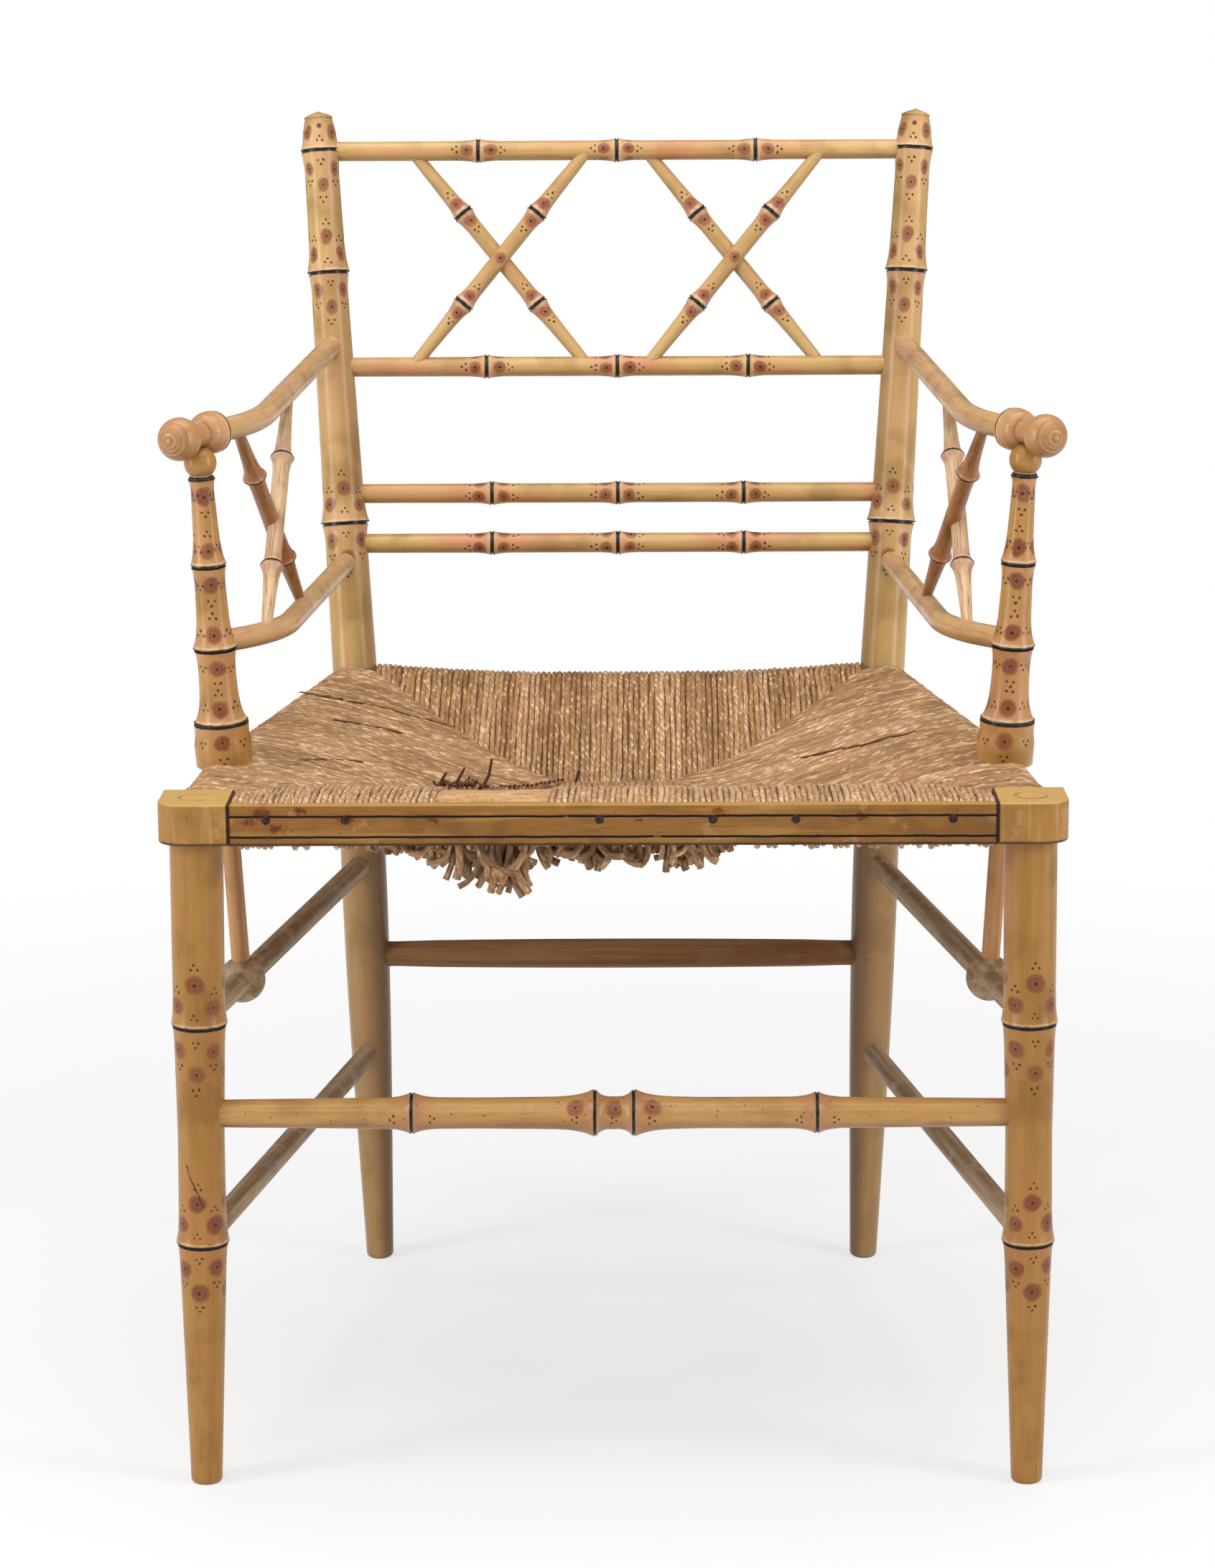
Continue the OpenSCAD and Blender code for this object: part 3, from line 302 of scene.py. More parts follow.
class Shell:
    """The points, faces and paint coordinates of one piece while it is drawn."""

    def __init__(self) -> None:
        """Starts empty."""
        self.points: list[Vector] = []
        self.faces: list[tuple[int, ...]] = []
        self.stick: list[Vector] = []
        self.ring: list[tuple[float, float]] = []
        self.slots: list[int] = []

    def add_face(self, corners: Sequence[int], ring: Sequence[tuple[float, float]], slot: int = 0) -> None:
        """Adds one face with the ring coordinates of its corners."""
        self.faces.append(tuple(corners))
        self.ring += ring
        self.slots.append(slot)

    def add_stick(self, stick: Stick, slot: int = 0) -> None:
        """Adds a closed stick.

        Args:
            stick: What to draw.
            slot: Index of the material on the piece.
        """
        base, n, rows = len(self.points), stick.sides, stick.rows()
        for s, r in rows:
            point, way = stick.path.at(s)
            e1 = (stick.face - way * stick.face.dot(way)).normalized()
            e2 = way.cross(e1)
            for k in range(n):
                a = 2 * math.pi * k / n
                place = point + (e1 * math.cos(a) + e2 * math.sin(a)) * r
                if stick.floor:
                    place.z = max(place.z, 0.0)
                self.points.append(place)
                b = a + stick.turn
                self.stick.append(Vector((r * math.cos(b), r * math.sin(b), s - stick.zero)))

        def corner(i: int, middle: float) -> tuple[float, float]:
            """Radius and distance to the ring nearest to the middle of the face."""
            s, r = rows[i]
            near = min(stick.rings, key=lambda at: abs(at - middle), default=s - 1.0)
            if middle > stick.plain_from:
                near = s - 1.0
            return r, s - near

        for i in range(len(rows) - 1):
            middle = (rows[i][0] + rows[i + 1][0]) / 2
            low, high = corner(i, middle), corner(i + 1, middle)
            for k in range(n):
                a, b = base + i * n + k, base + i * n + (k + 1) % n
                self.add_face((a, b, b + n, a + n), (low, low, high, high), slot)
        last = base + (len(rows) - 1) * n
        self.add_face([base + k for k in reversed(range(n))], [corner(0, rows[0][0])] * n, slot)
        self.add_face([last + k for k in range(n)], [corner(-1, rows[-1][0])] * n, slot)

    def add_prism(self, section: Sequence[Vector], way: Vector, steps: int = 1, slot: int = 0) -> None:
        """Adds a straight prism.

        Args:
            section: Corners of one end, counter-clockwise seen against the way.
            way: From that end to the other, whole length.
            steps: Number of rows along it.
            slot: Index of the material on the piece.
        """
        base, n = len(self.points), len(section)
        along = way.normalized()
        for k in range(steps + 1):
            for corner in section:
                place = corner + way * (k / steps)
                self.points.append(place)
                flat = place - along * place.dot(along)
                self.stick.append(Vector((flat.x + flat.y, flat.z, place.dot(along))))
        far = [NO_RING] * n
        for k in range(steps):
            for j in range(n):
                a, b = base + k * n + j, base + k * n + (j + 1) % n
                self.add_face((a, b, b + n, a + n), far[:1] * 4, slot)
        self.add_face([base + j for j in reversed(range(n))], far, slot)
        self.add_face([base + steps * n + j for j in range(n)], far, slot)

    def piece(self, name: str, *finishes: Material, sharp: float = 34.0, bevel: float = 0.0) -> Object:
        """Makes the object.

        Args:
            name: Name of the piece.
            finishes: Its materials, in the order of the slots.
            sharp: Edges that turn by more than this many degrees stay crisp.
            bevel: Width of a rounded edge, or 0 for none.

        Returns:
            The finished object, at the origin.
        """
        mesh = bpy.data.meshes.new(name)
        mesh.from_pydata([p - LAYOUT.middle for p in self.points], [], self.faces)
        mesh.polygons.foreach_set("material_index", self.slots)
        along = mesh.attributes.new("stick", "FLOAT_VECTOR", "POINT")
        along.data.foreach_set("vector", [c for v in self.stick for c in v])
        ring = mesh.uv_layers.new(name="ring")
        ring.data.foreach_set("uv", [c for pair in self.ring for c in pair])
        mesh.polygons.foreach_set("use_smooth", [True] * len(mesh.polygons))
        mesh.update()
        mesh.set_sharp_from_angle(angle=math.radians(sharp))
        made = add_object(name, mesh)
        for finish in finishes:
            mesh.materials.append(finish)
        if bevel:
            rounding = made.modifiers.new("Rounded edges", "BEVEL")
            rounding.width, rounding.segments, rounding.limit_method = bevel, 3, "ANGLE"
            rounding.angle_limit = math.radians(40)
            bake_modifiers(made)
        return made


def bake_modifiers(piece: Object) -> None:
    """Turns a piece's modifiers into plain mesh and takes them off."""
    evaluated = piece.evaluated_get(bpy.context.evaluated_depsgraph_get())
    mesh = bpy.data.meshes.new_from_object(evaluated)
    piece.modifiers.clear()
    old, piece.data = piece.data, mesh
    mesh.name = piece.name
    bpy.data.meshes.remove(old)


def install(piece: Object, slot: Slot, *nodes: str) -> Object:
    """Lets a piece stand for nodes of the frame and ride on its body.

    Args:
        piece: The finished piece.
        slot: Not used.
        nodes: The CAD nodes that it replaces.

    Returns:
        The same piece.
    """
    if nodes:
        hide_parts(*nodes)
    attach(piece, "root")
    log.info("%s: %d faces for %s", piece.name, len(piece.data.polygons), ", ".join(nodes) or "itself")
    return piece


def ring_rows(at: float, body: Callable[[float], float], below: float, above: float,
              reach_below: float, reach_above: float) -> Outline:
    """Outline of a painted bamboo ring: a swelling on each side of a painted groove.

    Args:
        at: Station of the groove.
        body: Radius of the bare stick at a station.
        below: Swelling on the side of the lower stations.
        above: Swelling on the other side.
        reach_below: How fast the first swelling fades.
        reach_above: How fast the second one fades.

    Returns:
        Points of station and radius.
    """
    half = GROOVE / 2
    shares = (2.6, 2.0, 1.5, 1.1, 0.8, 0.55, 0.35, 0.2, 0.08)
    low = [(at - half - k * reach_below, body(at - half - k * reach_below) + below * math.exp(-k))
           for k in shares]
    high = [(at + half + k * reach_above, body(at + half + k * reach_above) + above * math.exp(-k))
            for k in reversed(shares)]
    floor = body(at) + below - GROOVE_DEPTH
    groove = [(at - half, body(at) + below - 0.15 * MM), (at - half * 0.6, floor),
              (at + half * 0.6, floor), (at + half, body(at) + above - 0.15 * MM)]
    return low + groove + high


class Wiring:
    """Places and links the nodes of one tree."""

    def __init__(self, tree: NodeTree) -> None:
        """Takes the tree that the nodes go into."""
        self.tree = tree

    def node(self, kind: str, **settings: object) -> Node:
        """Adds a node with the given settings."""
        made = self.tree.nodes.new(kind)
        for name, value in settings.items():
            setattr(made, name, value)
        return made

    def feed(self, socket: Socket, value: object) -> None:
        """Links a socket to another one, or sets its value."""
        if isinstance(value, Socket):
            self.tree.links.new(value, socket)
        elif value is not None:
            socket.default_value = value

    def fill(self, made: Node, values: dict[str, object]) -> Node:
        """Feeds the inputs of a node by their names and hands it back."""
        for name, value in values.items():
            self.feed(made.inputs[name], value)
        return made

    def put(self, kind: str, values: dict[str, object], **settings: object) -> Outputs:
        """Adds a node with its settings and fed inputs, and gives its outputs."""
        return self.fill(self.node(kind, **settings), values).outputs

    def math(self, operation: str, a: object, b: object = None) -> Socket:
        """The result of a Math node on one or two numbers."""
        made = self.node("ShaderNodeMath", operation=operation)
        for socket, value in zip(made.inputs, (a, b)):
            self.feed(socket, value)
        return made.outputs[0]

    add = partialmethod(math, "ADD")
    sub = partialmethod(math, "SUBTRACT")
    mul = partialmethod(math, "MULTIPLY")
    div = partialmethod(math, "DIVIDE")
    abs = partialmethod(math, "ABSOLUTE")
    max = partialmethod(math, "MAXIMUM")
    min = partialmethod(math, "MINIMUM")

    def vector(self, operation: str, a: object, b: object = None, scale: object = None) -> Socket:
        """The result of a Vector Math node."""
        made = self.node("ShaderNodeVectorMath", operation=operation)
        self.feed(made.inputs[0], a)
        self.feed(made.inputs[1], b)
        self.feed(made.inputs[3], scale)
        return made.outputs[1 if operation in ("LENGTH", "DISTANCE") else 0]

    def mix(self, share: object, a: object, b: object) -> Socket:
        """Two colours mixed by a share."""
        made = self.node("ShaderNodeMix", data_type="RGBA")
        for key, value in (("Factor_Float", share), ("A_Color", a), ("B_Color", b)):
            self.feed(next(s for s in made.inputs if s.identifier == key), value)
        return next(s for s in made.outputs if s.identifier == "Result_Color")

    def coats(self, colour: object, *coats: tuple) -> Socket:
        """Lays coats over a colour, each given as its colour, its mask and, if not full, its strength."""
        for coat, mask, *share in coats:
            colour = self.mix(self.mul(mask, *share) if share else mask, colour, coat)
        return colour

    def span(self, value: object, low: object, high: object, to_low: object = 0.0,
             to_high: object = 1.0) -> Socket:
        """A value carried smoothly from one range to another, and held at its ends."""
        made = self.node("ShaderNodeMapRange", interpolation_type="SMOOTHSTEP")
        for socket, given in zip(made.inputs, (value, low, high, to_low, to_high)):
            self.feed(socket, given)
        return made.outputs["Result"]

    def noise(self, vector: object, scale: object, detail: float = 2.0, rough: float = 0.5,
              out: str = "Fac") -> Socket:
        """A noise texture."""
        return self.put("ShaderNodeTexNoise", {"Vector": vector, "Scale": scale, "Detail": detail,
                                               "Roughness": rough})[out]

    def cells(self, vector: object, scale: object) -> Outputs:
        """A Voronoi texture."""
        return self.put("ShaderNodeTexVoronoi", {"Vector": vector, "Scale": scale})

    def parts(self, vector: object) -> Outputs:
        """The three numbers of a vector."""
        return self.put("ShaderNodeSeparateXYZ", {"Vector": vector})

    def waver(self, place: object, scale: float, detail: float, reach: float, rough: float = 0.5) -> Socket:
        """A noise that strays to both sides of nought by half its reach."""
        return self.mul(self.sub(self.noise(place, scale, detail, rough), 0.5), reach)

    def attribute(self, name: str) -> Socket:
        """A point attribute, read in a material."""
        return self.node("ShaderNodeAttribute", attribute_name=name).outputs["Vector"]

    def named(self, name: str, kind: str = "FLOAT_VECTOR") -> Socket:
        """A point attribute, read in a geometry tree."""
        return self.put("GeometryNodeInputNamedAttribute", {"Name": name}, data_type=kind)["Attribute"]

    def up(self) -> Socket:
        """How far the surface faces up, from -1 to 1."""
        return self.parts(self.node("ShaderNodeNewGeometry").outputs["Normal"])[2]

    def join(self, x: object, y: object, z: object) -> Socket:
        """A vector from three numbers."""
        made = self.node("ShaderNodeCombineXYZ")
        for socket, value in zip(made.inputs, (x, y, z)):
            self.feed(socket, value)
        return made.outputs[0]

    def group(self, tree: NodeTree, **values: object) -> Outputs:
        """Places a group with its own values, given by the names of its inputs."""
        kind = "GeometryNodeGroup" if self.tree.type == "GEOMETRY" else "ShaderNodeGroup"
        named = {name.replace("_", " ").title(): value for name, value in values.items()}
        return self.put(kind, named, node_tree=tree)


class Effect:
    """A shared shader group: its name, its inputs and outputs, and what it works out."""

    name = ""
    inputs: dict[str, object] = {}
    outputs: Sequence[str] = ()

    def work(self, w: Wiring, given: Outputs) -> Sequence[Socket]:
        """Places the nodes and returns the outputs in order."""
        raise NotImplementedError

    def tree(self) -> NodeTree:
        """The group, built on its first use."""
        if self.name in bpy.data.node_groups:
            return bpy.data.node_groups[self.name]
        made = bpy.data.node_groups.new(self.name, "ShaderNodeTree")
        for name, start in self.inputs.items():
            kind = "NodeSocketVector" if start is None else "NodeSocketFloat"
            socket = made.interface.new_socket(name, in_out="INPUT", socket_type=kind)
            if start is not None:
                socket.default_value = start
        for name in self.outputs:
            made.interface.new_socket(name, in_out="OUTPUT", socket_type="NodeSocketFloat")
        w = Wiring(made)
        results = self.work(w, w.node("NodeGroupInput").outputs)
        end = w.node("NodeGroupOutput")
        for socket, value in zip(end.inputs, results):
            w.feed(socket, value)
        return made


class Grain(Effect):
    """Brush marks and broad drifts of tone that run along a piece."""

    name = "Grain along the piece"
    inputs = {"Along": None, "Fineness": 900.0, "Stretch": 22.0}
    outputs = ("Fine", "Broad", "Patch")

    def work(self, w: Wiring, given: Outputs) -> Sequence[Socket]:
        """Noise drawn out along the piece, at three sizes."""
        x, y, z = w.parts(given["Along"])
        drawn = w.join(x, y, w.div(z, given["Stretch"]))
        fine = w.noise(drawn, given["Fineness"], 3.0, 0.6)
        broad = w.noise(drawn, w.mul(given["Fineness"], 0.16), 2.0)
        patch = w.noise(given["Along"], 34.0, 3.0)
        return fine, broad, patch


class Specks(Effect):
    """Small round marks strewn at random."""

    name = "Specks"
    inputs = {"Place": None, "Density": 0.3, "Spacing": 7.0, "Size": 0.5}
    outputs = ("Mask",)

    def work(self, w: Wiring, given: Outputs) -> Sequence[Socket]:
        """Dots in some of the cells of a Voronoi texture. Spacing and size are in millimetres."""
        cells = w.cells(given["Place"], w.div(1000.0, given["Spacing"]))
        red = w.parts(cells["Color"])[0]
        chosen = w.math("LESS_THAN", red, given["Density"])
        share = w.div(given["Size"], given["Spacing"])
        size = w.mul(share, w.span(red, 0.0, given["Density"], 0.5, 1.3))
        dot = w.span(cells["Distance"], w.mul(size, 0.6), size, 1.0, 0.0)
        return (w.mul(dot, chosen),)


class Wear(Effect):
    """Patches where the finish has rubbed through, with ragged edges."""

    name = "Wear"
    inputs = {"Place": None, "Amount": 0.2, "Scale": 60.0}
    outputs = ("Mask",)

    def work(self, w: Wiring, given: Outputs) -> Sequence[Socket]:
        """Two noises cut off at a level that the amount sets."""
        big = w.noise(given["Place"], given["Scale"], 6.0, 0.62)
        level = w.span(given["Amount"], 0.0, 1.0, 0.74, 0.36)
        return (w.span(big, level, w.add(level, 0.05)),)


class Rosette(Effect):
    """A daubed disc with a darker band and a dark heart."""

    name = "Rosette"
    inputs = {"Across": 0.0, "Beyond": 0.0, "Size": 5.6 * MM, "Squeeze": 1.0}
    outputs = ("Disc", "Band", "Heart")

    def work(self, w: Wiring, given: Outputs) -> Sequence[Socket]:
        """Distances from the middle, compared with the size."""
        across = w.mul(given["Across"], given["Squeeze"])
        away = w.vector("LENGTH", w.join(across, given["Beyond"], 0.0))
        size = given["Size"]
        disc = w.span(away, w.mul(size, 0.78), w.mul(size, 1.1), 1.0, 0.0)
        ratio = w.div(away, w.max(size, 0.1 * MM))
        band = w.span(w.abs(w.sub(ratio, 0.5)), 0.05, 0.22, 1.0, 0.0)
        heart = w.span(away, 0.75 * MM, 1.6 * MM, 1.0, 0.0)
        live = w.math("GREATER_THAN", size, 0.5 * MM)
        return tuple(w.mul(value, live) for value in (disc, band, heart))


class Triad(Effect):
    """Three small dots, two side by side and one beyond them."""

    name = "Triad"
    inputs = {"Across": 0.0, "Beyond": 0.0, "Spread": 2.0 * MM, "Dot": 1.0 * MM}
    outputs = ("Dots",)

    def work(self, w: Wiring, given: Outputs) -> Sequence[Socket]:
        """The nearest of three middles."""
        side = w.sub(w.abs(given["Across"]), given["Spread"])
        pair = w.vector("LENGTH", w.join(side, given["Beyond"], 0.0))
        tip = w.sub(given["Beyond"], w.mul(given["Spread"], 1.5))
        single = w.vector("LENGTH", w.join(given["Across"], tip, 0.0))
        near = w.min(pair, single)
        dot = given["Dot"]
        return (w.span(near, w.mul(dot, 0.6), w.mul(dot, 1.1), 1.0, 0.0),)


class RosetteRow(Effect):
    """Rosettes set evenly round a stick, each with a triad beyond it."""

    name = "Row of rosettes"
    inputs = {"Turn": 0.0, "Radius": 10 * MM, "Away": 0.0, "Shift": 0.0, "Count": 4.0, "Phase": 0.0,
              "At": 27 * MM, "Size": 5.6 * MM, "Triad": 9.5 * MM, "Squeeze": 1.0}
    outputs = ("Disc", "Band", "Heart", "Dots")

    def work(self, w: Wiring, given: Outputs) -> Sequence[Socket]:
        """Folds the surface into as many sectors as there are rosettes."""
        sector = w.div(2 * math.pi, given["Count"])
        turn = w.sub(given["Turn"], w.mul(sector, given["Phase"]))
        number = w.math("ROUND", w.div(turn, sector))
        local = w.sub(turn, w.mul(number, sector))
        across = w.add(w.mul(local, given["Radius"]), given["Shift"])
        beyond = w.sub(given["Away"], given["At"])
        disc, band, heart = w.group(
            Rosette().tree(), across=across, beyond=beyond, size=given["Size"], squeeze=given["Squeeze"])
        dots = w.group(Triad().tree(), across=across, beyond=w.sub(beyond, given["Triad"]))[0]
        live = w.math("GREATER_THAN", given["Triad"], 1 * MM)
        return disc, band, heart, w.mul(dots, live)


class Ornament(Effect):
    """Two rows of rosettes on both sides of each painted ring, the second set between the first."""

    name = "Ornament round the rings"
    inputs = {"Along": None, "Ring": None, "Count": 4.0, "Phase": 0.5, "Far": 27 * MM, "Near": 14.5 * MM,
              "Far Size": 5.6 * MM, "Near Size": 5.6 * MM, "Far Triad": 9.5 * MM,
              "Near Triad": 9.5 * MM, "Ring Triad": 7 * MM, "Squeeze": 1.0}
    outputs = ("Disc", "Band", "Heart", "Dots", "Tint")

    def work(self, w: Wiring, given: Outputs) -> Sequence[Socket]:
        """The rows, laid by a hand that wavers."""
        x, y, _ = w.parts(given["Along"])
        radius, ring, _ = w.parts(given["Ring"])
        shift = w.vector("SUBTRACT", w.noise(given["Along"], 48.0, 1.0, out="Color"), MID_GREY)
        ragged = w.vector("SUBTRACT", w.noise(given["Along"], 420.0, 2.0, out="Color"), MID_GREY)
        dx, dy, _ = w.parts(w.vector("ADD", w.vector("SCALE", shift, scale=5.5 * MM),
                                     w.vector("SCALE", ragged, scale=1.4 * MM)))
        common = {"turn": w.math("ARCTAN2", y, x), "radius": radius, "shift": dx, "count": given["Count"],
                  "away": w.add(w.abs(ring), dy)}
        far = w.group(RosetteRow().tree(), at=given["Far"], size=given["Far Size"], triad=given["Far Triad"],
                      squeeze=given["Squeeze"], **common)
        near = w.group(RosetteRow().tree(), at=given["Near"], size=given["Near Size"], phase=given["Phase"],
                       triad=given["Near Triad"], squeeze=given["Squeeze"], **common)
        inner = w.group(RosetteRow().tree(), at=0.0, size=0.0, triad=given["Ring Triad"], **common)
        disc, band, heart, dots = (w.max(a, b) for a, b in zip(far, near))
        return disc, band, heart, w.max(dots, inner[3]), w.noise(given["Along"], 30.0, 0.0)


class Scratch(Effect):
    """A crackled scratch on a straight line."""

    name = "Scratch"
    inputs = {"Place": None, "Across": 0.0, "Along": 0.0, "From Across": 0.0, "From Along": 0.0,
              "Slant": 0.4, "Length": 30 * MM}
    outputs = ("Mask",)

    def work(self, w: Wiring, given: Outputs) -> Sequence[Socket]:
        """Distance from the line, warped and broken by noise."""
        x = w.sub(given["Across"], given["From Across"])
        z = w.sub(given["From Along"], given["Along"])
        cos, sin = w.math("COSINE", given["Slant"]), w.math("SINE", given["Slant"])
        run = w.add(w.mul(z, cos), w.mul(x, sin))
        off = w.sub(w.mul(x, cos), w.mul(z, sin))
        warp = w.waver(given["Place"], 260.0, 3.0, 3 * MM)
        near = w.span(w.abs(w.add(off, warp)), 0.25 * MM, 0.7 * MM, 1.0, 0.0)
        inside = w.mul(w.math("GREATER_THAN", run, 0.0), w.math("LESS_THAN", run, given["Length"]))
        return (w.mul(near, inside),)


class RingPaint(Effect):
    """The black line in the groove of a ring, its pale ridge and the blush round it."""

    name = "Painted ring"
    inputs = {"Along": None, "Ring": None, "Line": 1.4 * MM, "Ridge": 2.5 * MM, "Both": 0.0, "Reach": 13 * MM}
    outputs = ("Line", "Ridge", "Blush")

    def work(self, w: Wiring, given: Outputs) -> Sequence[Socket]:
        """Bands of distance from the ring, with edges that waver."""
        ring = w.parts(given["Ring"])[1]
        waver = w.waver(given["Along"], 170.0, 2.0, 0.9 * MM)
        near = w.abs(w.add(ring, w.mul(waver, 0.8)))
        line = w.span(near, w.mul(given["Line"], 0.82), w.mul(given["Line"], 1.2), 1.0, 0.0)
        side = w.max(w.span(ring, 0.0, 0.5 * MM), given["Both"])
        far = w.add(w.abs(ring), waver)
        broken = w.span(w.noise(given["Along"], 240.0, 3.0), 0.38, 0.5, 0.3, 1.0)
        ridge = w.span(far, given["Ridge"], w.add(given["Ridge"], 0.9 * MM), 1.0, 0.0)
        ridge = w.mul(w.mul(side, ridge), broken)
        mottle = w.span(w.noise(given["Along"], 120.0, 3.0), 0.35, 0.65, 0.45, 1.0)
        blush = w.mul(mottle, w.span(w.abs(ring), 0.0, given["Reach"], 1.0, 0.0))
        return line, ridge, blush


class Strands(Effect):
    """Twisted fibres of a rush strand, from its own coordinates."""

    name = "Twisted fibres"
    inputs = {"Strand": None, "Turn": 10 * MM}
    outputs = ("Lay", "Fibre", "Fleck")

    def work(self, w: Wiring, given: Outputs) -> Sequence[Socket]:
        """Stripes that wind round the strand, and noise drawn out along them."""
        x, y, z = w.parts(given["Strand"])
        winding = w.div(w.mul(z, 2 * math.pi), given["Turn"])
        loose = w.mul(w.noise(w.join(x, y, w.mul(z, 60.0)), 1.5, 1.0), 5.0)
        angle = w.add(w.mul(w.math("ARCTAN2", y, x), 2.0), w.add(winding, loose))
        lay = w.add(w.mul(w.math("SINE", angle), 0.5), 0.5)
        fibre = w.noise(w.join(w.mul(x, 1.4), w.mul(y, 1.4), w.mul(z, 70.0)), 2.4, 3.0, 0.6)
        fleck = w.noise(w.join(w.mul(x, 0.7), w.mul(y, 0.7), w.mul(z, 84.0)), 1.3, 3.0, 0.65)
        return lay, fibre, fleck


class Finish:
    """A material and how it is wired."""

    name = ""

    def wire(self, w: Wiring, shader: Node) -> None:
        """Places the nodes and feeds the shader."""
        raise NotImplementedError

    def material(self) -> Material:
        """The material, built on its first use."""
        if self.name in bpy.data.materials:
            return bpy.data.materials[self.name]
        made = bpy.data.materials.new(self.name)
        made.use_nodes = True
        made.node_tree.nodes.clear()
        w = Wiring(made.node_tree)
        shader = w.node("ShaderNodeBsdfPrincipled")
        end = w.node("ShaderNodeOutputMaterial")
        w.feed(end.inputs["Surface"], shader.outputs["BSDF"])
        self.wire(w, shader)
        return made

    @staticmethod
    def stick(w: Wiring) -> Socket:
        """The coordinates along a piece."""
        return w.attribute("stick")

    @staticmethod
    def ring(w: Wiring) -> Socket:
        """The coordinates by the painted rings."""
        return w.node("ShaderNodeUVMap", uv_map="ring").outputs["UV"]

    @staticmethod
    def place(w: Wiring) -> Socket:
        """The place on the chair."""
        return w.node("ShaderNodeTexCoord").outputs["Object"]

    @staticmethod
    def feed(w: Wiring, shader: Node, height: Socket, depth: float, values: dict[str, object]) -> None:
        """Feeds the shader.

        Args:
            w: Places and links the nodes.
            shader: The material's shader.
            height: Height of the surface, from 0 to 1.
            depth: What a height of 1 measures, in metres.
            values: The shader's other inputs, by name.
        """
        bump = w.put("ShaderNodeBump", {"Distance": depth, "Height": height})
        w.fill(shader, values | {"Normal": bump["Normal"]})


